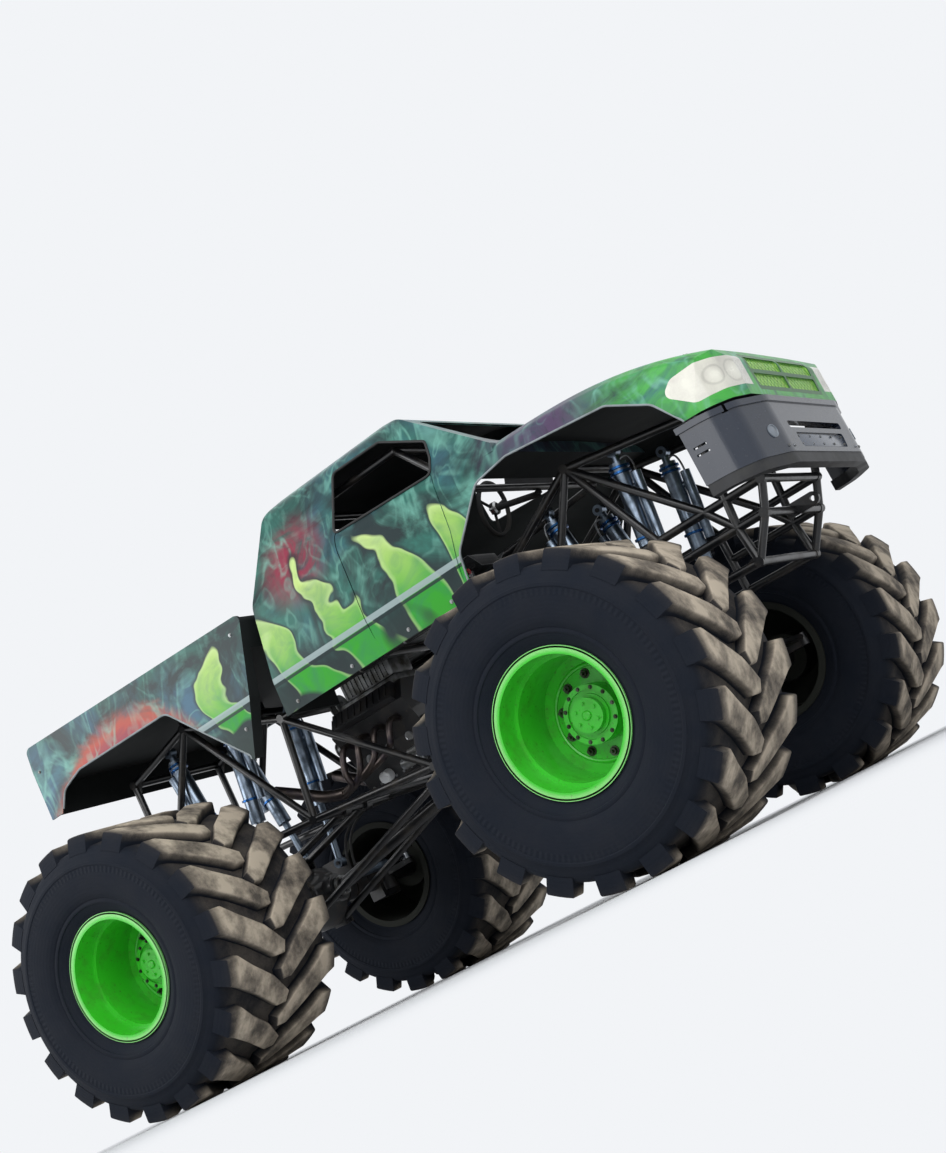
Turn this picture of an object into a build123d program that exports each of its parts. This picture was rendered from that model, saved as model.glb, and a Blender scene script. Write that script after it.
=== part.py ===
"""Monster truck with a tube frame, two steering axles and a hollow pickup body.

Units are millimetres. +X points to the nose, +Y to the truck's left and +Z up.
The origin lies on the floor under the middle of the truck.
"""
import os
from math import cos, pi, radians, sin, tan

from build123d import *

os.makedirs("parts", exist_ok=True)

# Overall layout
WHEELBASE = 3300
FRONT_OVERHANG = 1260
REAR_OVERHANG = 870
TRACK_HALF = 1360
TYRE_R = 838
LENGTH = REAR_OVERHANG + WHEELBASE + FRONT_OVERHANG
NOSE_X = LENGTH / 2
TAIL_X = -LENGTH / 2
FRONT_X = NOSE_X - FRONT_OVERHANG
REAR_X = TAIL_X + REAR_OVERHANG
MID_X = (FRONT_X + REAR_X) / 2
AXLE_Z = TYRE_R

# Running gaps
PIN_FIT = 0.08
SEAT_GAP = 0.3

# Tyre
TYRE_WIDTH = 1060
LUGS = 18
LUG_DEPTH = 65
SHOULDER_HALF = 480
BULGE_R = TYRE_R - 238
BEAD_HALF = 444

# Rim and its planetary hub
RIM_HALF = 457
RIM_SEAT_R = 345
RIM_WALL = 12
FLANGE_R = 375
FLANGE_THICK = 12
STEP_DEPTH = 150
STEP_DROP = 22
DISC_DEPTH = 425
DISC_THICK = 18
HUB_R = 150
HUB_OUT = 150
HUB_BACK = 160
CAP_R = 88
CAP_OUT = 36
GROOVE_R = 124
GROOVE_WIDTH = 20
GROOVE_DEPTH = 12

# Knuckles and kingpins
KINGPIN_HALF = 900
KINGPIN_R = 26
KNUCKLE_R = 62
KNUCKLE_HEIGHT = 220
SPINDLE_R = 70
SPINDLE_END = 40
ARM_LENGTH = 280
ARM_THICK = 36
ARM_WIDTH = 44
STEER_PIN_R = 12
ROD_EYE_R = 30
ROD_EYE_THICK = 40
BOLT_HEAD = 12
RAM_ARM_IN = 70

# Axles
AXLE_TUBE_R = 80
DIFF_R = 200
DIFF_HALF = 150
YOKE_THICK = 40
YOKE_BACK = 140
YOKE_HALF = 58

# Steering gear
TIE_ROD_R = 20
RAM_R = 32
RAM_ROD_R = 16
RAM_ROOT_Y = 140
RAM_LENGTH = 400
RAM_ROD_IN = 200

# Frame
TUBE_R = 24
KNOT = 1.15
FRAME_HALF = 430
CUT_Y = 400
STAY_R = 16
STAY_DROP = 6
ENGINE_TUBES = (MID_X - 605, MID_X - 185)
BUMPER_WALL = 16
BUMPER_LIP = 10
BED_FLOOR_Z = AXLE_Z + 1430
LENS_THICK = 8

# Body levels, as heights above the axles
WALL = 12
REACH = 200
DOOR_SEAM = 375
SILL = 932
STRIPE = 1152
BELT = 1612
ROOF_EDGE = 2122
ROOF = 2182

# Body widths and ends
BODY_HALF = 1005
SILL_HALF = BODY_HALF - 20
BELT_HALF = BODY_HALF - 50
ROOF_HALF = BODY_HALF - 280
ROOF_CROWN_HALF = BODY_HALF - 405
CAB_BACK_X = FRONT_X - 2070
CAB_FRONT_X = FRONT_X - DOOR_SEAM
COWL_X = FRONT_X - 85

AXLES = (("front", FRONT_X, 1), ("rear", REAR_X, -1))
SIDES = (("left", 1), ("right", -1))


def from_axle(axle_x, points):
    """Side-view points given from an axle's centre, moved to their place."""
    return [(axle_x + x, AXLE_Z + z) for x, z in points]


def across(points, low, high, radius=0, inset=0, mode=Mode.ADD):
    """Side-view outline of (x, z) points, solid from y = low to y = high."""
    side_view = Plane(origin=(0, low, 0), x_dir=(1, 0, 0), z_dir=(0, -1, 0))
    extrude(outline(side_view, points, radius, inset), amount=high - low, dir=(0, 1, 0), mode=mode)


def along(points, low, high, radius=0, inset=0, mode=Mode.ADD):
    """Front-view outline of (y, z) points, solid from x = low to x = high."""
    front_view = Plane(origin=(low, 0, 0), x_dir=(0, 1, 0), z_dir=(1, 0, 0))
    extrude(outline(front_view, points, radius, inset), amount=high - low, dir=(1, 0, 0), mode=mode)


def upward(points, low, high, radius=0, inset=0, mode=Mode.ADD):
    """Plan-view outline of (x, y) points, solid from z = low to z = high."""
    plan_view = Plane.XY.offset(low)
    extrude(outline(plan_view, points, radius, inset), amount=high - low, dir=(0, 0, 1), mode=mode)


def outline(plane, points, radius, inset):
    """Closed face through the points, corners rounded by one radius or one each, edge moved in."""
    with BuildSketch(plane) as shape:
        with BuildLine():
            if radius:
                FilletPolyline(*points, radius=radius, close=True)
            else:
                Polyline(*points, close=True)
        make_face()
        if inset:
            offset(amount=-inset, kind=Kind.INTERSECTION)
    return shape.sketch


def box(x_low, x_high, y_low, y_high, z_low, z_high, mode=Mode.ADD):
    """Block between two corners."""
    plan = [(x_low, y_low), (x_high, y_low), (x_high, y_high), (x_low, y_high)]
    upward(plan, z_low, z_high, mode=mode)


def rod(start, end, radius, mode=Mode.ADD):
    """Round bar between two points."""
    run = Vector(end) - Vector(start)
    with BuildSketch(Plane(origin=start, z_dir=run)) as ring:
        Circle(radius)
    extrude(ring.sketch, amount=run.length, mode=mode)


def both_sides(half_outline):
    """Mirror a front-view half outline of (y, z) points to the other side."""
    return half_outline + [(-y, z) for y, z in reversed(half_outline)]


def on_line(start, end, x):
    """Height at x on the straight line between two (x, z) points."""
    share = (x - start[0]) / (end[0] - start[0])
    return start[1] + share * (end[1] - start[1])


# Wheels
TYRE_HALF = TYRE_WIDTH / 2
CARCASS_R = TYRE_R - LUG_DEPTH
SECTORS = 2 * LUGS
FACET_HALF = TYRE_R * tan(pi / SECTORS)
OUTER_BAR = [  # along the tread, across the tyre: from the shoulder to the sector's edge
    (-FACET_HALF, SHOULDER_HALF),
    (FACET_HALF / 2, SHOULDER_HALF),
    (FACET_HALF, SHOULDER_HALF - 50),
    (FACET_HALF, SHOULDER_HALF - 190),
]
INNER_BAR = [  # the same bar in the next sector, up to the middle of the tread
    (-FACET_HALF, SHOULDER_HALF - 50),
    (-FACET_HALF, SHOULDER_HALF - 190),
    (FACET_HALF, -20),
    (FACET_HALF, 70),
]
DISC_OUT = RIM_HALF + FLANGE_THICK - DISC_DEPTH


def tread_bar(points, side):
    """Upright block of a tread bar with its foot inside the carcass."""
    with BuildPart() as bar:
        upward([(s, side * y) for s, y in points], CARCASS_R - LUG_DEPTH, TYRE_R)
    return bar.part


def tyre_sector(side):
    """Wedge of a tyre round the origin, with the outer bar of one row and the inner of the other."""
    seat = RIM_SEAT_R + SEAT_GAP
    half = [(SHOULDER_HALF, CARCASS_R), (TYRE_HALF, BULGE_R), (BEAD_HALF, seat)]
    wedge_top = 2 * TYRE_R
    wedge_half = wedge_top * tan(pi / SECTORS)
    with BuildPart() as sector:
        along(both_sides(half), -2 * FACET_HALF, 2 * FACET_HALF)
        add(tread_bar(OUTER_BAR, side))
        add(tread_bar(INNER_BAR, -side))
        across([(0, 0), (wedge_half, wedge_top), (-wedge_half, wedge_top)], -TYRE_WIDTH, TYRE_WIDTH,
               mode=Mode.INTERSECT)
    return sector.part


def many_sided_tyre():
    """Tyre round the origin: a flat facet for each sector, with two staggered rows of bars."""
    kinds = (tyre_sector(1), tyre_sector(-1))
    sectors = [kinds[i % 2].rotate(Axis.Y, 180 + i * 360 / SECTORS) for i in range(SECTORS)]
    return sectors[0].fuse(*sectors[1:])


def moved_to(piece, centre):
    """Copy of a piece made round the origin, moved to its centre."""
    with BuildPart() as placed:
        with Locations(centre):
            add(piece)
    return placed.part


def rim(centre, side):
    """Deep stepped rim with its disc, planetary hub and cap, bored for the spindle."""
    half = RIM_HALF + FLANGE_THICK
    inner_r = RIM_SEAT_R - RIM_WALL
    step_r = inner_r - STEP_DROP
    disc_back = DISC_OUT - DISC_THICK
    points = [
        (HUB_R, -HUB_BACK),
        (HUB_R, disc_back),
        (step_r, disc_back),
        (step_r, disc_back - STEP_DEPTH / 2),
        (inner_r, disc_back - STEP_DEPTH),
        (inner_r, -half),
        (FLANGE_R, -half),
        (FLANGE_R, -RIM_HALF),
        (RIM_SEAT_R, -RIM_HALF),
        (RIM_SEAT_R, RIM_HALF),
        (FLANGE_R, RIM_HALF),
        (FLANGE_R, half),
        (inner_r, half),
        (inner_r, half - STEP_DEPTH),
        (step_r, half - STEP_DEPTH),
        (step_r, DISC_OUT),
        (HUB_R, DISC_OUT),
        (HUB_R, HUB_OUT),
        (GROOVE_R, HUB_OUT),
        (GROOVE_R, HUB_OUT - GROOVE_DEPTH),
        (GROOVE_R - GROOVE_WIDTH, HUB_OUT - GROOVE_DEPTH),
        (GROOVE_R - GROOVE_WIDTH, HUB_OUT),
        (CAP_R, HUB_OUT),
        (CAP_R, HUB_OUT + CAP_OUT),
        (0, HUB_OUT + CAP_OUT),
        (0, SPINDLE_END + SEAT_GAP),
        (SPINDLE_R + PIN_FIT, SPINDLE_END + SEAT_GAP),
        (SPINDLE_R + PIN_FIT, -HUB_BACK),
    ]
    section_plane = Plane(origin=centre, x_dir=(1, 0, 0), z_dir=(0, 0, side))
    with BuildPart() as body:
        with BuildSketch(section_plane) as section:
            with BuildLine():
                Polyline(*points, close=True)
            make_face()
        revolve(section.sketch, axis=Axis(centre, (0, 1, 0)), revolution_arc=360)
    return body.part


def knuckle(centre_x, side, ahead):
    """Steering knuckle: kingpin, spindle and the arms for the tie rod and the ram."""
    pin_y = side * KINGPIN_HALF
    low_z = TYRE_R - KNUCKLE_HEIGHT / 2
    high_z = TYRE_R + KNUCKLE_HEIGHT / 2
    pin_z = TYRE_R + ARM_THICK / 2 + ROD_EYE_THICK + 2 * SEAT_GAP
    with BuildPart() as body:
        rod((centre_x, pin_y, low_z + SEAT_GAP), (centre_x, pin_y, high_z - SEAT_GAP), KNUCKLE_R)
        rod((centre_x, pin_y, low_z - YOKE_THICK), (centre_x, pin_y, high_z + YOKE_THICK), KINGPIN_R)
        spindle_y = side * (TRACK_HALF + SPINDLE_END)
        rod((centre_x, pin_y, TYRE_R), (centre_x, spindle_y, TYRE_R), SPINDLE_R)
        tie_x = centre_x + ahead * ARM_LENGTH
        box(min(tie_x, centre_x), max(tie_x, centre_x), pin_y - ARM_WIDTH / 2, pin_y + ARM_WIDTH / 2,
            TYRE_R - ARM_THICK / 2, TYRE_R + ARM_THICK / 2)
        rod((tie_x, pin_y, TYRE_R - ARM_THICK / 2), (tie_x, pin_y, TYRE_R + ARM_THICK / 2), ROD_EYE_R)
        rod((tie_x, pin_y, TYRE_R), (tie_x, pin_y, pin_z), STEER_PIN_R)
        if side > 0:
            ram_x = centre_x - ahead * ARM_LENGTH
            ram_y = KINGPIN_HALF - RAM_ARM_IN
            half = ARM_WIDTH / 2
            arm = [(centre_x, pin_y - half), (centre_x, pin_y + half), (ram_x, ram_y + half), (ram_x, ram_y - half)]
            upward(arm, TYRE_R - ARM_THICK / 2, TYRE_R + ARM_THICK / 2)
            rod((ram_x, ram_y, TYRE_R - ARM_THICK / 2), (ram_x, ram_y, TYRE_R + ARM_THICK / 2), ROD_EYE_R)
    return body.part


def tie_rod(centre_x, ahead):
    """Bar between the two knuckles' outer arms, with an eye at each end."""
    x = centre_x + ahead * ARM_LENGTH
    low_z = TYRE_R + ARM_THICK / 2 + SEAT_GAP
    mid_z = low_z + ROD_EYE_THICK / 2
    with BuildPart() as body:
        rod((x, -KINGPIN_HALF, mid_z), (x, KINGPIN_HALF, mid_z), TIE_ROD_R - 1)
        for side in (-1, 1):
            y = side * KINGPIN_HALF
            rod((x, y, low_z), (x, y, low_z + ROD_EYE_THICK), ROD_EYE_R)
        for side in (-1, 1):
            y = side * KINGPIN_HALF
            rod((x, y, low_z), (x, y, low_z + ROD_EYE_THICK), STEER_PIN_R + PIN_FIT, mode=Mode.SUBTRACT)
    return body.part


def ram_barrel(centre_x, ahead):
    """Steering cylinder, hinged on the axle and bored for its rod."""
    x = centre_x - ahead * ARM_LENGTH
    low_z = TYRE_R + ARM_THICK / 2 + SEAT_GAP
    mid_z = low_z + ROD_EYE_THICK / 2
    end_y = RAM_ROOT_Y + ROD_EYE_R + RAM_LENGTH
    with BuildPart() as body:
        rod((x, RAM_ROOT_Y, mid_z), (x, RAM_ROOT_Y + ROD_EYE_R + 20, mid_z), TIE_ROD_R - 2)
        rod((x, RAM_ROOT_Y + ROD_EYE_R + 10, mid_z), (x, end_y, mid_z), RAM_R)
        rod((x, RAM_ROOT_Y, low_z), (x, RAM_ROOT_Y, low_z + ROD_EYE_THICK), ROD_EYE_R)
        rod((x, RAM_ROOT_Y, low_z), (x, RAM_ROOT_Y, low_z + ROD_EYE_THICK), STEER_PIN_R + PIN_FIT,
            mode=Mode.SUBTRACT)
        bore_y = RAM_ROOT_Y + 2 * ROD_EYE_R
        rod((x, bore_y, mid_z), (x, end_y, mid_z), RAM_ROD_R + PIN_FIT, mode=Mode.SUBTRACT)
    return body.part


def ram_rod(centre_x, ahead):
    """Rod of the steering cylinder, with the eye that meets the left knuckle."""
    x = centre_x - ahead * ARM_LENGTH
    low_z = TYRE_R + ARM_THICK / 2 + SEAT_GAP
    mid_z = low_z + ROD_EYE_THICK / 2
    eye_y = KINGPIN_HALF - RAM_ARM_IN
    start_y = RAM_ROOT_Y + ROD_EYE_R + RAM_LENGTH - RAM_ROD_IN
    with BuildPart() as body:
        rod((x, start_y, mid_z), (x, eye_y, mid_z), RAM_ROD_R)
        rod((x, eye_y, low_z), (x, eye_y, low_z + ROD_EYE_THICK), ROD_EYE_R)
        rod((x, eye_y, low_z + ROD_EYE_THICK), (x, eye_y, low_z + ROD_EYE_THICK + BOLT_HEAD), STEER_PIN_R * 1.6)
    return body.part


tyre_shape = many_sided_tyre()
for axle_name, axle_x, axle_ahead in AXLES:
    for side_name, side_sign in SIDES:
        corner = f"{axle_name}_{side_name}"
        wheel_centre = (axle_x, side_sign * TRACK_HALF, TYRE_R)
        pieces = (
            ("tyre", moved_to(tyre_shape, wheel_centre)),
            ("rim", rim(wheel_centre, side_sign)),
            ("knuckle", knuckle(axle_x, side_sign, axle_ahead)),
        )
        for piece_name, piece in pieces:
            piece.label = f"{piece_name}_{corner}"
            export_step(piece, f"parts/{piece.label}.step")
    pieces = (
        ("tie_rod", tie_rod(axle_x, axle_ahead)),
        ("ram_barrel", ram_barrel(axle_x, axle_ahead)),
        ("ram_rod", ram_rod(axle_x, axle_ahead)),
    )
    for piece_name, piece in pieces:
        piece.label = f"{piece_name}_{axle_name}"
        export_step(piece, f"parts/{piece.label}.step")

# Frame joints in the side view, each with a tube across the truck
JOINTS = {  # name: (x, z)
    "tail_low": (REAR_X - 585, AXLE_Z + 492),
    "rear_low": (REAR_X + 665, AXLE_Z + 402),
    "mid_low": (MID_X, AXLE_Z + 312),
    "front_low": (FRONT_X - 655, AXLE_Z + 402),
    "nose_low": (FRONT_X + 757, AXLE_Z + 373),
    "nose_step": (FRONT_X + 911, AXLE_Z + 588),
    "nose_tip": (FRONT_X + 985, AXLE_Z + 754),
    "nose_end": (FRONT_X + 1105, AXLE_Z + 1062),
    "tail_top": (REAR_X - 585, AXLE_Z + 1222),
    "rear_tower": (REAR_X, AXLE_Z + 1362),
    "rear_knee": (REAR_X + 765, AXLE_Z + 1062),
    "mid_top": (MID_X, AXLE_Z + 1062),
    "cab_knee": (FRONT_X - 655, AXLE_Z + 1062),
    "front_tower": (FRONT_X, AXLE_Z + 1392),
    "nose_top": (FRONT_X + 795, AXLE_Z + 1252),
}
SIDE_NODES = {  # meeting points of side tubes alone, at the height of the nose's steps
    "brace_mid": (FRONT_X - 422, AXLE_Z + 754),
    "post_low": (FRONT_X + 295, AXLE_Z + 382),
    "post_mid": (FRONT_X + 295, AXLE_Z + 588),
    "post_top": (FRONT_X + 295, AXLE_Z + 754),
    "hip": (FRONT_X + 613, AXLE_Z + 754),
    "heel": (FRONT_X + 736, AXLE_Z + 588),
    "nose_mid": (FRONT_X + 751, AXLE_Z + 754),
}
POINTS = {**JOINTS, **SIDE_NODES}
SIDE_TUBES = (  # first point, second point
    ("tail_low", "rear_low"),
    ("rear_low", "mid_low"),
    ("mid_low", "front_low"),
    ("front_low", "post_low"),
    ("post_low", "nose_low"),
    ("nose_low", "nose_step"),
    ("nose_step", "nose_tip"),
    ("nose_tip", "nose_end"),
    ("tail_top", "rear_tower"),
    ("rear_tower", "rear_knee"),
    ("rear_knee", "mid_top"),
    ("mid_top", "cab_knee"),
    ("cab_knee", "front_tower"),
    ("front_tower", "nose_top"),
    ("nose_top", "nose_end"),
    ("tail_low", "tail_top"),
    ("tail_low", "rear_tower"),
    ("rear_low", "rear_tower"),
    ("rear_low", "rear_knee"),
    ("rear_knee", "mid_low"),
    ("mid_low", "cab_knee"),
    ("front_low", "cab_knee"),
    ("front_low", "brace_mid"),
    ("brace_mid", "front_tower"),
    ("brace_mid", "post_top"),
    ("post_top", "hip"),
    ("hip", "nose_mid"),
    ("nose_mid", "nose_tip"),
    ("post_low", "post_mid"),
    ("post_mid", "post_top"),
    ("post_mid", "heel"),
    ("heel", "nose_step"),
    ("post_top", "front_tower"),
    ("front_tower", "hip"),
    ("hip", "heel"),
    ("heel", "nose_low"),
    ("nose_top", "nose_mid"),
    ("nose_mid", "heel"),
)
SHOCK_Y = 340
SHOCK_EYE_HALF = 30
SHOCK_PIN_R = 14
SHOCK_TOP_OUT = 270
SHOCK_LOW_OUT = 115
SHOCK_LOW_Z = AXLE_Z + 172
SHOCKS = (  # axle name, axle x, direction, rail start, rail end
    ("front", FRONT_X, -1, "cab_knee", "front_tower"),
    ("front", FRONT_X, 1, "front_tower", "nose_top"),
    ("rear", REAR_X, -1, "tail_top", "rear_tower"),
    ("rear", REAR_X, 1, "rear_tower", "rear_knee"),
)


def shock_top(axle_x, out, start, end):
    """Upper pin of a shock on the top rail, as (x, z)."""
    x = axle_x + out * SHOCK_TOP_OUT
    return x, on_line(JOINTS[start], JOINTS[end], x)


def frame_side(side):
    """One side truss with its cross-tube stubs, shock pins, bumper stay and bed post."""
    frame_y = side * FRAME_HALF
    with BuildPart() as truss:
        for start, end in SIDE_TUBES:
            (x1, z1), (x2, z2) = POINTS[start], POINTS[end]
            rod((x1, frame_y, z1), (x2, frame_y, z2), TUBE_R)
        for x, z in JOINTS.values():
            rod((x, side * CUT_Y, z), (x, frame_y + side * TUBE_R, z), TUBE_R * KNOT)
        for axle_name, axle_x, out, start, end in SHOCKS:
            x, z = shock_top(axle_x, out, start, end)
            rod((x, side * (SHOCK_Y - SHOCK_EYE_HALF - 6), z), (x, frame_y, z), SHOCK_PIN_R)
        for x in ENGINE_TUBES:
            z = on_line(JOINTS["rear_low"], JOINTS["mid_low"], x)
            rod((x, side * CUT_Y, z), (x, frame_y, z), TUBE_R * 0.98)
        stay_x, stay_z = JOINTS["nose_end"]
        stay_end = NOSE_X - BUMPER_LIP - BUMPER_WALL - SEAT_GAP
        rod((stay_x, frame_y, stay_z - STAY_DROP), (stay_end, frame_y, stay_z - STAY_DROP), STAY_R)
        rod((REAR_X, frame_y, JOINTS["rear_tower"][1]), (REAR_X, frame_y, BED_FLOOR_Z - SEAT_GAP), STAY_R)
    return truss.part


for side_name, side_sign in SIDES:
    frame_part = frame_side(side_sign)
    frame_part.label = f"frame_{side_name}"
    export_step(frame_part, f"parts/{frame_part.label}.step")

with BuildPart() as cross_tubes:
    for x, z in JOINTS.values():
        rod((x, -CUT_Y, z), (x, CUT_Y, z), TUBE_R)
    for x in ENGINE_TUBES:
        z = on_line(JOINTS["rear_low"], JOINTS["mid_low"], x)
        rod((x, -CUT_Y, z), (x, CUT_Y, z), TUBE_R * 0.98)
cross_tubes.part.label = "cross_tubes"
export_step(cross_tubes.part, "parts/cross_tubes.step")

# Tow eyes, one clamped round each end's lowest cross tube
TOW_HOLE_R = 16
TOW_PLATE = 25
TOW_EYE_R = 38
TOW_REACH = 130
with BuildPart() as tow_eyes:
    for joint, out in (("nose_step", 1), ("tail_low", -1)):
        x, z = JOINTS[joint]
        eye_x = x + out * TOW_REACH
        low_y, high_y = -TOW_PLATE / 2, TOW_PLATE / 2
        box(min(x, eye_x), max(x, eye_x), low_y, high_y, z - TOW_EYE_R, z + TOW_EYE_R)
        for centre_x in (x, eye_x):
            rod((centre_x, low_y, z), (centre_x, high_y, z), TOW_EYE_R)
        rod((x, low_y, z), (x, high_y, z), TUBE_R + PIN_FIT, mode=Mode.SUBTRACT)
        rod((eye_x, low_y, z), (eye_x, high_y, z), TOW_HOLE_R, mode=Mode.SUBTRACT)
tow_eyes.part.label = "tow_eyes"
export_step(tow_eyes.part, "parts/tow_eyes.step")

# Roll cage inside the cab
FLOOR_Z = JOINTS["mid_top"][1] + TUBE_R * KNOT + SEAT_GAP
FLOOR_THICK = 8
CAGE_BACK_X = FRONT_X - 1635
CAGE_FRONT_X = FRONT_X - 835
CAGE_DASH_X = FRONT_X - 415
CAGE_TOP_Z = AXLE_Z + 2012
CAGE_BELT_Z = AXLE_Z + 1412
CAGE_DASH_Z = AXLE_Z + 1512
CAGE_TOP_HALF = ROOF_HALF - 125
CAGE_BELT_HALF = BELT_HALF - 195
CAGE_TUBE_R = 22
with BuildPart() as roll_cage:
    for side in (-1, 1):
        foot = (CAGE_BACK_X, side * FRAME_HALF, FLOOR_Z + FLOOR_THICK + 30)
        belt = (CAGE_BACK_X, side * CAGE_BELT_HALF, CAGE_BELT_Z)
        top_back = (CAGE_BACK_X, side * CAGE_TOP_HALF, CAGE_TOP_Z)
        top_front = (CAGE_FRONT_X, side * CAGE_TOP_HALF, CAGE_TOP_Z)
        dash = (CAGE_DASH_X, side * CAGE_BELT_HALF, CAGE_DASH_Z)
        pad_z = FLOOR_Z + FLOOR_THICK + SEAT_GAP
        rod((CAGE_BACK_X, foot[1], pad_z), (CAGE_BACK_X, foot[1], pad_z + 60), CAGE_TUBE_R * 1.4)
        rod(foot, belt, CAGE_TUBE_R)
        rod(belt, top_back, CAGE_TUBE_R)
        rod(top_back, top_front, CAGE_TUBE_R)
        rod(top_front, dash, CAGE_TUBE_R)
        rod(belt, dash, CAGE_TUBE_R)
        for knee in (belt, top_back, top_front, dash):
            with Locations(knee):
                Sphere(CAGE_TUBE_R * 1.12)
    rod((CAGE_BACK_X, -CAGE_TOP_HALF, CAGE_TOP_Z), (CAGE_BACK_X, CAGE_TOP_HALF, CAGE_TOP_Z), CAGE_TUBE_R)
    rod((CAGE_FRONT_X, -CAGE_TOP_HALF, CAGE_TOP_Z), (CAGE_FRONT_X, CAGE_TOP_HALF, CAGE_TOP_Z), CAGE_TUBE_R)
    rod((CAGE_DASH_X, -CAGE_BELT_HALF, CAGE_DASH_Z), (CAGE_DASH_X, CAGE_BELT_HALF, CAGE_DASH_Z), CAGE_TUBE_R)
roll_cage.part.label = "roll_cage"
export_step(roll_cage.part, "parts/roll_cage.step")

# Axles
LINK_EYE_R = 44
LINK_R = 24
LINK_WIDTH = 60
LOW_LINK_Y = 250
LOW_LINK_Z = AXLE_Z - 178
TOP_LINK_Y = 120
TOP_LINK_Z = AXLE_Z + 252
LINK_PIN_R = 18
BRACKET_THICK = 16


def lug_plate(x_low, x_high, y, z_low, z_high):
    """Upright bracket plate centred on y."""
    box(x_low, x_high, y - BRACKET_THICK / 2, y + BRACKET_THICK / 2, z_low, z_high)


for axle_name, axle_x, ahead in AXLES:
    with BuildPart() as axle:
        rod((axle_x, -KINGPIN_HALF + YOKE_BACK, TYRE_R), (axle_x, KINGPIN_HALF - YOKE_BACK, TYRE_R), AXLE_TUBE_R)
        rod((axle_x, -DIFF_HALF, TYRE_R), (axle_x, DIFF_HALF, TYRE_R), DIFF_R)
        rod((axle_x, 0, TYRE_R), (axle_x - ahead * (DIFF_R + 90), 0, TYRE_R), 80)
        for side in (-1, 1):
            back = KINGPIN_HALF - YOKE_BACK
            low_z = TYRE_R - KNUCKLE_HEIGHT / 2
            high_z = TYRE_R + KNUCKLE_HEIGHT / 2
            y_low, y_high = sorted((side * (back - YOKE_THICK), side * back))
            box(axle_x - YOKE_HALF, axle_x + YOKE_HALF, y_low, y_high, low_z - YOKE_THICK, high_z + YOKE_THICK)
            for z_low in (low_z - YOKE_THICK, high_z):
                y_low, y_high = sorted((side * back, side * KINGPIN_HALF))
                box(axle_x - YOKE_HALF, axle_x + YOKE_HALF, y_low, y_high, z_low, z_low + YOKE_THICK)
                pin_y = side * KINGPIN_HALF
                rod((axle_x, pin_y, z_low), (axle_x, pin_y, z_low + YOKE_THICK), YOKE_HALF)
                rod((axle_x, pin_y, z_low), (axle_x, pin_y, z_low + YOKE_THICK), KINGPIN_R + PIN_FIT,
                    mode=Mode.SUBTRACT)
            plate_y = SHOCK_Y + SHOCK_EYE_HALF + BRACKET_THICK / 2 + 1
            lug_plate(axle_x - SHOCK_LOW_OUT - 35, axle_x + SHOCK_LOW_OUT + 35, side * plate_y,
                      TYRE_R, SHOCK_LOW_Z + 40)
            for out in (-1, 1):
                pin_x = axle_x + out * SHOCK_LOW_OUT
                rod((pin_x, side * (SHOCK_Y - SHOCK_EYE_HALF - 6), SHOCK_LOW_Z), (pin_x, side * plate_y, SHOCK_LOW_Z),
                    SHOCK_PIN_R)
            for y in (LOW_LINK_Y - 39, LOW_LINK_Y + 39):
                lug_plate(axle_x - 50, axle_x + 50, side * y, LOW_LINK_Z - 40, TYRE_R)
            rod((axle_x, side * (LOW_LINK_Y - 39), LOW_LINK_Z), (axle_x, side * (LOW_LINK_Y + 39), LOW_LINK_Z),
                LINK_PIN_R)
            for y in (TOP_LINK_Y - 39, TOP_LINK_Y + 39):
                lug_plate(axle_x - 50, axle_x + 50, side * y, TYRE_R, TOP_LINK_Z + 40)
            rod((axle_x, side * (TOP_LINK_Y - 39), TOP_LINK_Z), (axle_x, side * (TOP_LINK_Y + 39), TOP_LINK_Z),
                LINK_PIN_R)
        ram_x = axle_x - ahead * ARM_LENGTH
        x_low, x_high = sorted((axle_x - ahead * DIFF_R * 0.8, ram_x))
        box(x_low, x_high, RAM_ROOT_Y - ROD_EYE_R, RAM_ROOT_Y + ROD_EYE_R, TYRE_R - ARM_THICK / 2,
            TYRE_R + ARM_THICK / 2)
        rod((ram_x, RAM_ROOT_Y, TYRE_R - ARM_THICK / 2), (ram_x, RAM_ROOT_Y, TYRE_R + ARM_THICK / 2), ROD_EYE_R)
        rod((ram_x, RAM_ROOT_Y, TYRE_R),
            (ram_x, RAM_ROOT_Y, TYRE_R + ARM_THICK / 2 + ROD_EYE_THICK + 2 * SEAT_GAP), STEER_PIN_R)
    axle.part.label = f"axle_{axle_name}"
    export_step(axle.part, f"parts/{axle.part.label}.step")

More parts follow.
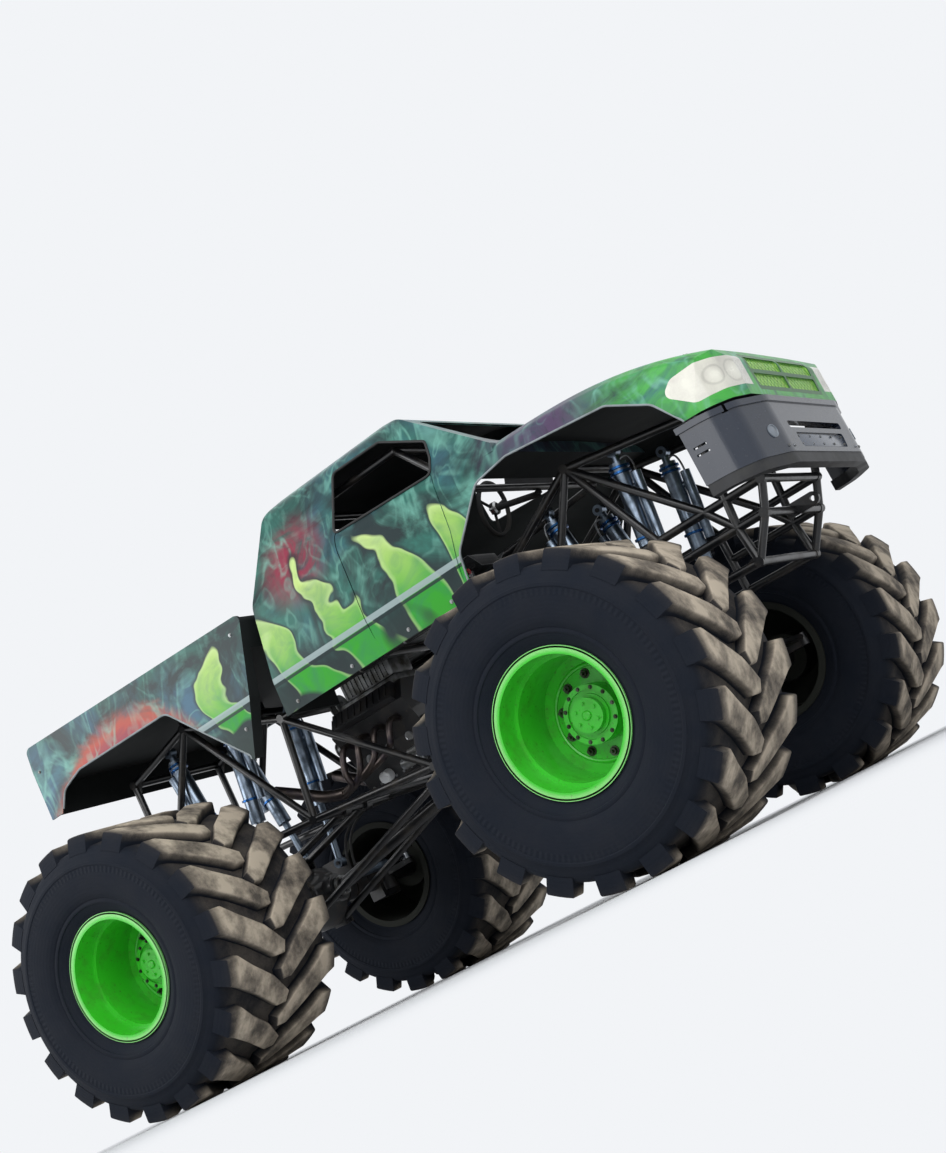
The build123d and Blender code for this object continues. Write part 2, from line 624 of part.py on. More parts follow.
# Suspension links, each turning on a pin of the axle and on a cross tube of the frame
LINKS = (  # axle name, y at both ends, z at the axle, frame joint, clearance radius there
    ("front", LOW_LINK_Y, LOW_LINK_Z, "mid_low"),
    ("front", TOP_LINK_Y, TOP_LINK_Z, "front_low"),
    ("rear", LOW_LINK_Y, LOW_LINK_Z, "mid_low"),
    ("rear", TOP_LINK_Y, TOP_LINK_Z, "rear_low"),
)
REAR_LINK_SHIFT = 64
for axle_name, axle_x, ahead in AXLES:
    with BuildPart() as links:
        for link_axle, y, z, joint in LINKS:
            if link_axle != axle_name:
                continue
            far_x, far_z = JOINTS[joint]
            shift = -REAR_LINK_SHIFT if (axle_name == "rear" and joint == "mid_low") else 0
            for side in (-1, 1):
                link_y = side * (y + shift)
                axle_y = side * y
                near = (axle_x, axle_y, z)
                far = (far_x, link_y, far_z)
                rod(near, far, LINK_R)
                for (eye_x, eye_y, eye_z) in (near, far):
                    rod((eye_x, eye_y - LINK_WIDTH / 2, eye_z), (eye_x, eye_y + LINK_WIDTH / 2, eye_z), LINK_EYE_R)
                rod((near[0], axle_y - 60, near[2]), (near[0], axle_y + 60, near[2]), LINK_PIN_R + PIN_FIT,
                    mode=Mode.SUBTRACT)
                rod((far_x, link_y - 60, far_z), (far_x, link_y + 60, far_z), TUBE_R + PIN_FIT, mode=Mode.SUBTRACT)
    links.part.label = f"links_{axle_name}"
    export_step(links.part, f"parts/{links.part.label}.step")

# Shocks: a thick body above, a bright shaft below, an eye at each end
SHOCK_R = 50
SHAFT_R = 24
SHOCK_BODY_SHARE = 0.62
RESERVOIR_R = 30
RESERVOIR_OUT = 88
for axle_name, axle_x, ahead in AXLES:
    with BuildPart() as shocks:
        for shock_axle, shock_x, out, start, end in SHOCKS:
            if shock_axle != axle_name:
                continue
            top_x, top_z = shock_top(shock_x, out, start, end)
            low_x = shock_x + out * SHOCK_LOW_OUT
            for side in (-1, 1):
                y = side * SHOCK_Y
                low = Vector(low_x, y, SHOCK_LOW_Z)
                top = Vector(top_x, y, top_z)
                run = top - low
                rod(low, top, SHAFT_R)
                rod(low + run * (1 - SHOCK_BODY_SHARE), low + run * 0.94, SHOCK_R)
                beside = Vector(out * RESERVOIR_OUT, 0, 0)
                rod(low + run * 0.5 + beside, low + run * 0.86 + beside, RESERVOIR_R)
                rod(low + run * 0.8, low + run * 0.8 + beside, RESERVOIR_R * 0.6)
                for eye in (low, top):
                    rod((eye.X, y - SHOCK_EYE_HALF, eye.Z), (eye.X, y + SHOCK_EYE_HALF, eye.Z), 34)
                    rod((eye.X, y - 60, eye.Z), (eye.X, y + 60, eye.Z), SHOCK_PIN_R + PIN_FIT, mode=Mode.SUBTRACT)
    shocks.part.label = f"shocks_{axle_name}"
    export_step(shocks.part, f"parts/{shocks.part.label}.step")

# Cab
CAB_SIDE = [  # x, height of the side view from the front axle, clockwise from the sill
    (-2070, SILL),
    (-1990, BELT),
    (-1800, ROOF_EDGE),
    (-1685, ROOF - 15),
    (-1130, ROOF),
    (-815, ROOF - 15),
    (-660, ROOF_EDGE),
    (-85, BELT),
    (-85, BELT - 50),
    (-DOOR_SEAM, BELT - 50),
    (-DOOR_SEAM, SILL),
]
CAB_SIDE_RADII = [0, 300, 120, 250, 0, 300, 200, 0, 0, 0, 0]
FRONT_ARCH = from_axle(FRONT_X, [  # cut over the front wheel
    (-615, SILL - 300),
    (-530, 1182),
    (-265, 1462),
    (-35, 1497),
    (605, 1417),
    (835, 1282),
    (945, 1122),
    (975, SILL - 300),
])
SIDE_WINDOW = from_axle(FRONT_X, [
    (-1270, 1707),
    (-1200, 2072),
    (-825, 2062),
    (-500, 1872),
    (-490, 1757),
    (-510, 1662),
])
DOOR_EDGE = from_axle(FRONT_X, [
    (-1275, 985),
    (-1275, 1730),
    (-500, 1690),
    (-525, 1310),
    (-595, 985),
])
DOOR_GROOVE = 7
DOOR_GROOVE_DEPTH = 6
SCREEN = both_sides([(BELT_HALF - 165, AXLE_Z + 1665), (ROOF_HALF - 90, AXLE_Z + 2062)])
REAR_WINDOW = both_sides([(BELT_HALF - 355, AXLE_Z + 1722), (ROOF_HALF - 185, AXLE_Z + 2022)])


def cab_section(low_z):
    """Front-view outline of the cab, from the sill to the crowned roof, and its corners' radii."""
    half = [
        (SILL_HALF, low_z),
        (BODY_HALF, AXLE_Z + STRIPE),
        (BELT_HALF, AXLE_Z + BELT),
        (ROOF_HALF, AXLE_Z + ROOF_EDGE),
        (ROOF_CROWN_HALF, AXLE_Z + ROOF),
    ]
    radii = [0, 250, 200, 120, 200]
    return both_sides(half), radii + radii[::-1]


def cab_volume(inset, reach):
    """Cab without its walls' thickness, its sill moved down by reach."""
    with BuildPart() as volume:
        side_view = [(x, z - reach if z == SILL else z) for x, z in CAB_SIDE]
        side_view = [(x + reach if x == -DOOR_SEAM else x, z) for x, z in side_view]
        across(from_axle(FRONT_X, side_view), -BODY_HALF, BODY_HALF, radius=CAB_SIDE_RADII, inset=inset)
        section, radii = cab_section(AXLE_Z + SILL - reach)
        along(section, CAB_BACK_X - 10, COWL_X + 10, radius=radii, inset=inset, mode=Mode.INTERSECT)
    return volume.part


def door_grooves():
    """Narrow ring round each door, as deep as the groove in the shell's outer face."""
    with BuildPart() as grooves:
        add(cab_volume(0, 0))
        add(cab_volume(DOOR_GROOVE_DEPTH, REACH), mode=Mode.SUBTRACT)
        across(DOOR_EDGE, -BODY_HALF, BODY_HALF, radius=60, mode=Mode.INTERSECT)
        across(DOOR_EDGE, -BODY_HALF, BODY_HALF, radius=60, inset=DOOR_GROOVE, mode=Mode.SUBTRACT)
    return grooves.part


with BuildPart() as cab_shell:
    add(cab_volume(0, 0))
    add(cab_volume(WALL, REACH), mode=Mode.SUBTRACT)
    across(FRONT_ARCH, -BODY_HALF - 20, BODY_HALF + 20, radius=100, mode=Mode.SUBTRACT)
    across(SIDE_WINDOW, -BODY_HALF, BODY_HALF, radius=40, mode=Mode.SUBTRACT)
    along(SCREEN, CAB_FRONT_X - 230, COWL_X + 20, radius=50, mode=Mode.SUBTRACT)
    along(REAR_WINDOW, CAB_BACK_X, CAB_BACK_X + 415, radius=50, mode=Mode.SUBTRACT)
    box(CAB_BACK_X - 10, CAB_BACK_X + 60, -FRAME_HALF - 60, FRAME_HALF + 60, AXLE_Z + SILL - 10, FLOOR_Z,
        mode=Mode.SUBTRACT)
    add(door_grooves(), mode=Mode.SUBTRACT)
cab_shell.part.label = "cab_shell"
export_step(cab_shell.part, "parts/cab_shell.step")

# Cab floor
with BuildPart() as cab_floor:
    add(cab_volume(WALL + SEAT_GAP, REACH))
    box(CAB_BACK_X + 20, JOINTS["cab_knee"][0] - 40, -BODY_HALF, BODY_HALF, FLOOR_Z, FLOOR_Z + FLOOR_THICK,
        mode=Mode.INTERSECT)
cab_floor.part.label = "cab_floor"
export_step(cab_floor.part, "parts/cab_floor.step")

# Front clip and hood
NOSE_LOW = 1112
CROWN = (  # x from the front axle, height of the hood, then shoulder and side in from the body's half width
    (-700, 1640, 48, 0),
    (-85, 1614, 46, 0),
    (390, 1592, 52, 2),
    (760, 1534, 62, 18),
    (1040, 1454, 95, 55),
    (1300, 1350, 160, 125),
)
SHOULDER_DROP = 45
SHOULDER_IN = 75
CROWN_RISE = 25
CLIP_SIDE = [  # x, height of the side view from the front axle, above the crown except at the nose
    (-DOOR_SEAM, SILL),
    (-DOOR_SEAM, BELT - 50),
    (-85, BELT - 50),
    (-85, 1700),
    (1040, 1700),
    (1040, 1490),
    (1185, 1420),
    (1235, 1330),
    (1235, NOSE_LOW),
    (845, NOSE_LOW),
    (845, SILL),
]
CLIP_SIDE_RADII = [0, 0, 0, 0, 0, 0, 60, 50, 0, 0, 0]
CLIP_PLAN = [(-DOOR_SEAM, -20), (900, -20), (1110, 95), (1190, 180), (1245, 365)]  # x, in from the half width
CLIP_PLAN_RADII = [0, 0, 160, 130, 220]
HOOD_HALF = BODY_HALF - 245
HOOD_FRONT_X = FRONT_X + 1145
GRILLE_HALF = 520
GRILLE_LOW = 1147
GRILLE_HIGH = 1377
GRILLE_THICK = 30


def crown(inset, reach):
    """Lofted front end with a crowned hood and rounded shoulders."""
    sections = []
    for x, top, shoulder_in, side_in in CROWN:
        shoulder = BODY_HALF - shoulder_in
        half = [
            (SILL_HALF - side_in - inset, SILL - reach),
            (BODY_HALF - side_in - inset, STRIPE),
            (shoulder - inset, top - SHOULDER_DROP),
            (shoulder - SHOULDER_IN - inset, top - inset),
        ]
        points = half + [(0, top + CROWN_RISE - inset)] + [(-y, z) for y, z in reversed(half)]
        radii = [0, 150, 50 - inset / 2, 90]
        front_view = Plane(origin=(FRONT_X + x, 0, AXLE_Z), x_dir=(0, 1, 0), z_dir=(1, 0, 0))
        sections.append(outline(front_view, points, radii + [9000] + radii[::-1], 0))
    return loft([section.face() for section in sections])


def clip_volume(inset, reach):
    """Front end without its walls' thickness, open below and behind by reach."""
    with BuildPart() as volume:
        add(crown(inset, reach))
        side_view = [(x, z - reach if z in (SILL, NOSE_LOW) else z) for x, z in CLIP_SIDE]
        side_view = [(x - reach if x == -DOOR_SEAM else x, z) for x, z in side_view]
        across(from_axle(FRONT_X, side_view), -BODY_HALF - 50, BODY_HALF + 50, radius=CLIP_SIDE_RADII,
               inset=inset, mode=Mode.INTERSECT)
        half = [(x - reach if x == -DOOR_SEAM else x, BODY_HALF - y) for x, y in CLIP_PLAN]
        plan = [(FRONT_X + x, y) for x, y in half + [(x, -y) for x, y in reversed(half)]]
        upward(plan, 0, AXLE_Z + ROOF, radius=CLIP_PLAN_RADII + CLIP_PLAN_RADII[::-1], inset=inset,
               mode=Mode.INTERSECT)
    return volume.part


def grille_outline():
    """Front-view outline of the grille's opening."""
    return both_sides([(GRILLE_HALF - 30, AXLE_Z + GRILLE_LOW), (GRILLE_HALF, AXLE_Z + GRILLE_HIGH)])


clip_outside = clip_volume(0, 0)
clip_inside = clip_volume(WALL, REACH)


def front_skin():
    """Front end as one shell with its wheel arches and nose opening cut."""
    with BuildPart() as skin:
        add(clip_outside)
        add(clip_inside, mode=Mode.SUBTRACT)
        across(FRONT_ARCH, -BODY_HALF - 20, BODY_HALF + 20, radius=100, mode=Mode.SUBTRACT)
        along(grille_outline(), HOOD_FRONT_X, NOSE_X, radius=20, mode=Mode.SUBTRACT)
    return skin.part


LAMP_IN = 560
LAMP_SIDE = from_axle(FRONT_X, [
    (905, 1280),
    (975, 1345),
    (1110, 1358),
    (1260, 1345),
    (1260, 1175),
    (1050, 1160),
])
LAMP_RADII = [40, 60, 0, 0, 0, 60]


def hood_space(mode):
    """Block that bounds the hood."""
    box(COWL_X, HOOD_FRONT_X, -HOOD_HALF, HOOD_HALF, AXLE_Z + NOSE_LOW + 200, AXLE_Z + ROOF, mode=mode)


def lamp_space():
    """Prisms that bound the two headlamp covers, wrapped round the corners of the nose."""
    with BuildPart() as space:
        across(LAMP_SIDE, -BODY_HALF - 20, BODY_HALF + 20, radius=LAMP_RADII)
        box(FRONT_X, NOSE_X, -LAMP_IN, LAMP_IN, AXLE_Z, AXLE_Z + ROOF, mode=Mode.SUBTRACT)
    return space.part


whole_front = front_skin()
with BuildPart() as hood:
    add(whole_front)
    hood_space(Mode.INTERSECT)
hood.part.label = "hood"
export_step(hood.part, "parts/hood.step")

with BuildPart() as headlamps:
    add(whole_front)
    hood_space(Mode.SUBTRACT)
    add(lamp_space(), mode=Mode.INTERSECT)
headlamps.part.label = "headlamps"
export_step(headlamps.part, "parts/headlamps.step")

with BuildPart() as front_clip:
    add(whole_front)
    hood_space(Mode.SUBTRACT)
    add(lamp_space(), mode=Mode.SUBTRACT)
front_clip.part.label = "front_clip"
export_step(front_clip.part, "parts/front_clip.step")

# Grille: a skin of the nose with four sunk panels
BAR = 24
POCKET = 14
POCKET_LEAN = 8
GRILLE_MIDDLE = (GRILLE_LOW + GRILLE_HIGH) / 2
POCKET_ROWS = (  # low and high edge above the axles, outer edge at the foot
    (GRILLE_LOW + BAR, GRILLE_MIDDLE - BAR / 2, GRILLE_HALF - 58),
    (GRILLE_MIDDLE + BAR / 2, GRILLE_HIGH - BAR, GRILLE_HALF - 45),
)


def nose_skin(thick):
    """Outer layer of the nose, as thick as given."""
    with BuildPart() as skin:
        add(clip_outside)
        add(clip_volume(thick, REACH), mode=Mode.SUBTRACT)
    return skin.part


def grille_windows():
    """Four upright prisms that bound the sunk panels."""
    with BuildPart() as windows:
        for side in (-1, 1):
            inner = side * BAR / 2
            for low, high, out in POCKET_ROWS:
                corners = [
                    (inner, AXLE_Z + low),
                    (side * out, AXLE_Z + low),
                    (side * (out + POCKET_LEAN), AXLE_Z + high),
                    (inner, AXLE_Z + high),
                ]
                along(corners, HOOD_FRONT_X, NOSE_X, radius=POCKET)
    return windows.part


def grille_pockets():
    """What is taken out of the grille for its sunk panels."""
    with BuildPart() as pockets:
        add(nose_skin(POCKET))
        add(grille_windows(), mode=Mode.INTERSECT)
    return pockets.part


with BuildPart() as grille:
    add(nose_skin(GRILLE_THICK))
    along(grille_outline(), HOOD_FRONT_X, NOSE_X, radius=20, inset=SEAT_GAP, mode=Mode.INTERSECT)
    add(grille_pockets(), mode=Mode.SUBTRACT)
grille.part.label = "grille"
export_step(grille.part, "parts/grille.step")

# Bumper with a lip, a slot over a sunk panel, round lamp recesses and side slits
BUMPER_LOW_Z = AXLE_Z + 762
BUMPER_HIGH_Z = AXLE_Z + 1097
LIP_LOW_Z = BUMPER_HIGH_Z - 34
BUMPER_PLAN = [(890, 5), (1045, 40), (1185, 175), (1260, 445)]  # x from the front axle, in from the half width
BUMPER_RADII = [0, 200, 160, 250]
SLOT_HALF = 420
PANEL_HALF = 380
PANEL_SUNK = 12
PAD_THICK = 30
FOG_Y = 640
FOG_Z = BUMPER_LOW_Z + 130
FOG_R = 52
FOG_SLOT = 16
SLITS_X = FRONT_X + 930
SLIT_LENGTH = 70
SLIT = 12


def bumper_prism(low_z, high_z, inset, back_reach, mode=Mode.ADD):
    """Upright prism on the bumper's plan, its open back moved by back_reach."""
    half = [(x - back_reach if x == BUMPER_PLAN[0][0] else x, BODY_HALF - y) for x, y in BUMPER_PLAN]
    plan = [(FRONT_X + x, y) for x, y in half + [(x, -y) for x, y in reversed(half)]]
    upward(plan, low_z, high_z, radius=BUMPER_RADII + BUMPER_RADII[::-1], inset=inset, mode=mode)


with BuildPart() as bumper:
    bumper_prism(BUMPER_LOW_Z, LIP_LOW_Z, BUMPER_LIP, 0)
    bumper_prism(LIP_LOW_Z, BUMPER_HIGH_Z, 0, 0)
    bumper_prism(BUMPER_LOW_Z - 10, BUMPER_HIGH_Z - BUMPER_WALL, BUMPER_LIP + BUMPER_WALL, 100, mode=Mode.SUBTRACT)
    box(FRONT_X + 845, FRONT_X + 1145, -880, 880, BUMPER_HIGH_Z - 40, BUMPER_HIGH_Z + 10, mode=Mode.SUBTRACT)
    inner_x = NOSE_X - BUMPER_LIP - BUMPER_WALL
    box(inner_x - PAD_THICK, inner_x, -SLOT_HALF - 20, SLOT_HALF + 20, BUMPER_LOW_Z + 20, BUMPER_LOW_Z + 200)
    along(both_sides([(SLOT_HALF, BUMPER_LOW_Z + 145), (SLOT_HALF, BUMPER_LOW_Z + 185)]), inner_x - 2 * PAD_THICK,
          NOSE_X, radius=18, mode=Mode.SUBTRACT)
    along(both_sides([(PANEL_HALF - 20, BUMPER_LOW_Z + 30), (PANEL_HALF, BUMPER_LOW_Z + 115)]),
          NOSE_X - BUMPER_LIP - PANEL_SUNK, NOSE_X, radius=20, mode=Mode.SUBTRACT)
    for side in (-1, 1):
        with BuildSketch(Plane(origin=(inner_x - 120, 0, 0), x_dir=(0, 1, 0), z_dir=(1, 0, 0))) as fog_slot:
            arc = CenterArc((side * FOG_Y, FOG_Z), FOG_R, 45, 270, mode=Mode.PRIVATE)
            SlotArc(arc, FOG_SLOT)
        extrude(fog_slot.sketch, amount=PAD_THICK * 5, mode=Mode.SUBTRACT)
        for slit_z in (BUMPER_LOW_Z + 150, BUMPER_LOW_Z + 190):
            y_low, y_high = sorted((side * (BODY_HALF - 120), side * (BODY_HALF + 20)))
            box(SLITS_X, SLITS_X + SLIT_LENGTH, y_low, y_high, slit_z, slit_z + SLIT, mode=Mode.SUBTRACT)
bumper.part.label = "bumper"
export_step(bumper.part, "parts/bumper.step")

# Valance under the bumper
VALANCE_DROP = 62
with BuildPart() as valance:
    bumper_prism(BUMPER_LOW_Z - VALANCE_DROP, BUMPER_LOW_Z, BUMPER_LIP + 4, 0)
    bumper_prism(BUMPER_LOW_Z - VALANCE_DROP - 10, BUMPER_LOW_Z + 10, BUMPER_LIP + 70, 200, mode=Mode.SUBTRACT)
valance.part.label = "valance"
export_step(valance.part, "parts/valance.step")

# Bed
BED_FRONT_X = CAB_BACK_X - 30
BED_TAIL_X = TAIL_X + LENS_THICK
BED_LOW = 822
BED_RAIL = 1637
BED_TAIL_RAIL = 1707
BED_STEP = 1192
BED_TOP_HALF = BODY_HALF - 60
BED_RISE = 200
REAR_ARCH = from_axle(REAR_X, [
    (860, BED_LOW - 300),
    (860, 852),
    (575, 1172),
    (385, 1367),
    (-455, 1382),
    (-635, 1322),
    (-720, 1192),
    (-755, BED_LOW - 300),
])
MAT_MARGIN = 50
MAT_THICK = 4


def bed_side(rise, drop):
    """Side-view outline of the bed, its top raised and its open bottom lowered."""
    return [
        (BED_FRONT_X + 0.3 * rise, AXLE_Z + BED_RAIL + rise),
        (BED_TAIL_X, AXLE_Z + BED_TAIL_RAIL + rise),
        (BED_TAIL_X, AXLE_Z + BED_TAIL_RAIL - 165),
        (BED_TAIL_X + 35, AXLE_Z + BED_STEP - drop),
        (REAR_X - 635, AXLE_Z + BED_STEP - drop),
        (REAR_X - 635, AXLE_Z + BED_LOW - drop),
        (BED_FRONT_X - 320 - 0.5 * drop, AXLE_Z + BED_LOW - drop),
        (BED_FRONT_X - 150, AXLE_Z + STRIPE),
    ]


def bed_section(low_z, high_z):
    """Front-view outline of the bed between two heights."""
    return both_sides([(SILL_HALF, low_z), (BODY_HALF, AXLE_Z + STRIPE), (BED_TOP_HALF, high_z)])


def bed_space(low_z, high_z):
    """Hollow of the bed between two heights, inside its walls."""
    with BuildPart() as space:
        across(bed_side(BED_RISE, BED_RISE), -BODY_HALF, BODY_HALF, inset=WALL)
        along(bed_section(AXLE_Z + BED_LOW - BED_RISE, AXLE_Z + BED_TAIL_RAIL), TAIL_X - 10, BED_FRONT_X + 100,
              inset=WALL, mode=Mode.INTERSECT)
        box(TAIL_X, BED_FRONT_X + 100, -BODY_HALF, BODY_HALF, low_z, high_z, mode=Mode.INTERSECT)
    return space.part


def bed_well():
    """Load space above the floor, open at the top."""
    with BuildPart() as well:
        across(bed_side(BED_RISE, 0), -BODY_HALF, BODY_HALF, inset=WALL)
        inside = BED_TOP_HALF - WALL
        box(TAIL_X, BED_FRONT_X + 100, -inside, inside, BED_FLOOR_Z + WALL, AXLE_Z + ROOF, mode=Mode.INTERSECT)
    return well.part


with BuildPart() as bed_shell:
    across(bed_side(0, 0), -BODY_HALF, BODY_HALF, radius=[40, 40, 0, 0, 0, 0, 0, 0])
    along(bed_section(AXLE_Z + BED_LOW, AXLE_Z + BED_TAIL_RAIL), TAIL_X - 10, BED_FRONT_X + 10, mode=Mode.INTERSECT)
    add(bed_well(), mode=Mode.SUBTRACT)
    add(bed_space(AXLE_Z + BED_LOW - 150, BED_FLOOR_Z), mode=Mode.SUBTRACT)
    across(REAR_ARCH, -BODY_HALF - 20, BODY_HALF + 20, radius=60, mode=Mode.SUBTRACT)
    open_half = BODY_HALF - 100
    box(BED_FRONT_X - 400, BED_FRONT_X, -open_half, open_half, AXLE_Z + BED_LOW - 10, BED_FLOOR_Z, mode=Mode.SUBTRACT)
    mat_half = BED_TOP_HALF - WALL - MAT_MARGIN
    box(BED_TAIL_X + WALL + MAT_MARGIN, BED_FRONT_X - 4 * MAT_MARGIN, -mat_half, mat_half,
        BED_FLOOR_Z + WALL / 2, BED_FLOOR_Z + WALL + MAT_THICK)
bed_shell.part.label = "bed_shell"
export_step(bed_shell.part, "parts/bed_shell.step")

# Tail lamps
with BuildPart() as tail_lamps:
    for side in (-1, 1):
        y_low, y_high = sorted((side * (BODY_HALF - 190), side * (BODY_HALF - 80)))
        box(TAIL_X, BED_TAIL_X, y_low, y_high, AXLE_Z + BED_TAIL_RAIL - 155, AXLE_Z + BED_TAIL_RAIL - 55)
tail_lamps.part.label = "tail_lamps"
export_step(tail_lamps.part, "parts/tail_lamps.step")

# Engine and driveline
ENGINE_X = (MID_X - 705, MID_X - 95)
ENGINE_HALF = 190
ENGINE_HEAD_HALF = 290
ENGINE_LOW_Z = AXLE_Z + 398
with BuildPart() as engine:
    along(both_sides([(150, ENGINE_LOW_Z), (ENGINE_HALF, ENGINE_LOW_Z + 214),
                      (ENGINE_HEAD_HALF, ENGINE_LOW_Z + 404), (210, ENGINE_LOW_Z + 524)]), ENGINE_X[0], ENGINE_X[1])
    for x in ENGINE_TUBES:
        top_z = on_line(JOINTS["rear_low"], JOINTS["mid_low"], x) + TUBE_R
        box(x - 30, x + 30, -120, 120, top_z, ENGINE_LOW_Z + 5)
engine.part.label = "engine"
export_step(engine.part, "parts/engine.step")

CASE_X = (ENGINE_X[1] + SEAT_GAP, MID_X + 615)
CASE_Z = ENGINE_LOW_Z + 4
TRANSFER_LENGTH = 180
TRANSFER_DROP = 160
with BuildPart() as gearbox:
    along(both_sides([(140, CASE_Z), (190, CASE_Z + 90), (150, CASE_Z + 260)]), CASE_X[0], CASE_X[0] + 240)
    along(both_sides([(100, CASE_Z), (130, CASE_Z + 60), (100, CASE_Z + 190)]), CASE_X[0] + 240,
          CASE_X[1] - TRANSFER_LENGTH)
    box(CASE_X[1] - TRANSFER_LENGTH, CASE_X[1], -130, 130, CASE_Z - TRANSFER_DROP, CASE_Z + 180)
gearbox.part.label = "gearbox"
export_step(gearbox.part, "parts/gearbox.step")

PINION_END = DIFF_R + 90
SHAFT_TUBE_R = 42
with BuildPart() as propshafts:
    for start_x, start_z, end_x, out in (
        (CASE_X[1], CASE_Z - 90, FRONT_X - PINION_END, 1),
        (CASE_X[1] - TRANSFER_LENGTH, CASE_Z - 115, REAR_X + PINION_END, -1),
    ):
        start = (start_x + out * 40, 0, start_z)
        end = (end_x - out * 40, 0, TYRE_R)
        rod((start_x + out * SEAT_GAP, 0, start_z), start, 52)
        rod(start, end, SHAFT_TUBE_R)
        rod(end, (end_x - out * SEAT_GAP, 0, TYRE_R), 52)
propshafts.part.label = "propshafts"
export_step(propshafts.part, "parts/propshafts.step")

# Seat and steering wheel
SEAT_X = FRONT_X - 1395
SEAT_HALF = 230
SEAT_Z = FLOOR_Z + FLOOR_THICK + SEAT_GAP
with BuildPart() as seat:
    box(SEAT_X, SEAT_X + 480, -SEAT_HALF, SEAT_HALF, SEAT_Z, SEAT_Z + 200)
    across([(SEAT_X + 20, SEAT_Z + 100), (SEAT_X + 130, SEAT_Z + 100), (SEAT_X - 20, SEAT_Z + 800),
            (SEAT_X - 100, SEAT_Z + 800)], -SEAT_HALF, SEAT_HALF)
seat.part.label = "seat"
export_step(seat.part, "parts/seat.step")

WHEEL_X = FRONT_X - 735
WHEEL_Z = AXLE_Z + 1542
WHEEL_R = 165
WHEEL_RIM_R = 15
RIM_SECTION_SIDES = 8
COLUMN_R = 20
with BuildPart() as steering_wheel:
    hub = Vector(WHEEL_X, 0, WHEEL_Z)
    column_end = Vector(CAGE_DASH_X, 0, CAGE_DASH_Z - CAGE_TUBE_R - COLUMN_R - 5)
    tilt = column_end - hub
    wheel_plane = Plane(origin=hub, x_dir=(0, 1, 0), z_dir=tilt)
    with BuildSketch(Plane(origin=hub, x_dir=(0, 1, 0), z_dir=wheel_plane.y_dir)) as rim_section:
        with Locations((WHEEL_R, 0)):
            RegularPolygon(WHEEL_RIM_R, RIM_SECTION_SIDES)
    revolve(rim_section.sketch, axis=Axis(hub, tilt), revolution_arc=360)
    rod(hub, column_end, COLUMN_R)
    for angle in (20, 160, 270):
        spoke_end = Vector(WHEEL_R * cos(radians(angle)), WHEEL_R * sin(radians(angle)), 0)
        rod(hub, wheel_plane.from_local_coords(spoke_end), WHEEL_RIM_R * 0.6)
    rod(column_end, (CAGE_DASH_X, 0, CAGE_DASH_Z - CAGE_TUBE_R - SEAT_GAP), COLUMN_R)
steering_wheel.part.label = "steering_wheel"
export_step(steering_wheel.part, "parts/steering_wheel.step")
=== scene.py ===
"""Paint, tread, fasteners and trim for a tube-frame monster truck.

Lengths are metres in the truck's own frame: +X to the nose, +Y to its left, +Z up.
"""
import math

import bmesh
import bpy
from bpy.props import FloatProperty, IntProperty, PointerProperty, StringProperty
from mathutils import Matrix, Vector


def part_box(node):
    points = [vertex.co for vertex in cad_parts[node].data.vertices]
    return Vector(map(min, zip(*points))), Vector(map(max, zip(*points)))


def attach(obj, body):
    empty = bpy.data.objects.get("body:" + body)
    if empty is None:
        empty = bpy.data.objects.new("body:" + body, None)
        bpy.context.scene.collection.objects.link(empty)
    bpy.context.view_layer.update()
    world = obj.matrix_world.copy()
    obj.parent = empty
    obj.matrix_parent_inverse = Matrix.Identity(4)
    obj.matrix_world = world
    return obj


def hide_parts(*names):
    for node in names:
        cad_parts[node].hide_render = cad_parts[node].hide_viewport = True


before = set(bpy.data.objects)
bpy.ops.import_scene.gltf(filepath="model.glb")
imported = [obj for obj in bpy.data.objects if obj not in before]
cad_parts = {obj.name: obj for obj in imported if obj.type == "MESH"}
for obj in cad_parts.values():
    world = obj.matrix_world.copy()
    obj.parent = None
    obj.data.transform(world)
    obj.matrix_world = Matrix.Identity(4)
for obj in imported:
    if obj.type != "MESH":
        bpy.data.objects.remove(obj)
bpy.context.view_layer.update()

bl_info = {
    "name": "Monster Truck Dressing",
    "version": (1, 0, 0),
    "blender": (4, 5, 0),
    "location": "3D View > Sidebar > Truck",
    "description": "Paint, tread, fasteners, trim and light for a tube-frame monster truck",
    "category": "Object",
}

MM = 0.001
CORNERS = ("front_left", "front_right", "rear_left", "rear_right")
SIDES = (-1, 1)


def middle(node):
    """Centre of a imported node's box."""
    low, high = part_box(node)
    return (low + high) / 2


TYRE_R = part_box("tyre_front_left")[1].z / 2
AXLE_Z = middle("rim_front_left").z
FRONT_X = middle("rim_front_left").x
REAR_X = middle("rim_rear_left").x
MID_X = (FRONT_X + REAR_X) / 2
NOSE_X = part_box("front_clip")[1].x
FRAME_Y = 0.43
GRILLE_FOLD_Z = AXLE_Z + 1.33

# Engine: its underside, and the outer and inner edges of its heads as (half width, height above the underside)
ENGINE_FOOT = AXLE_Z + 0.398
HEAD_OUTER, HEAD_INNER = (0.29, 0.404), (0.21, 0.524)

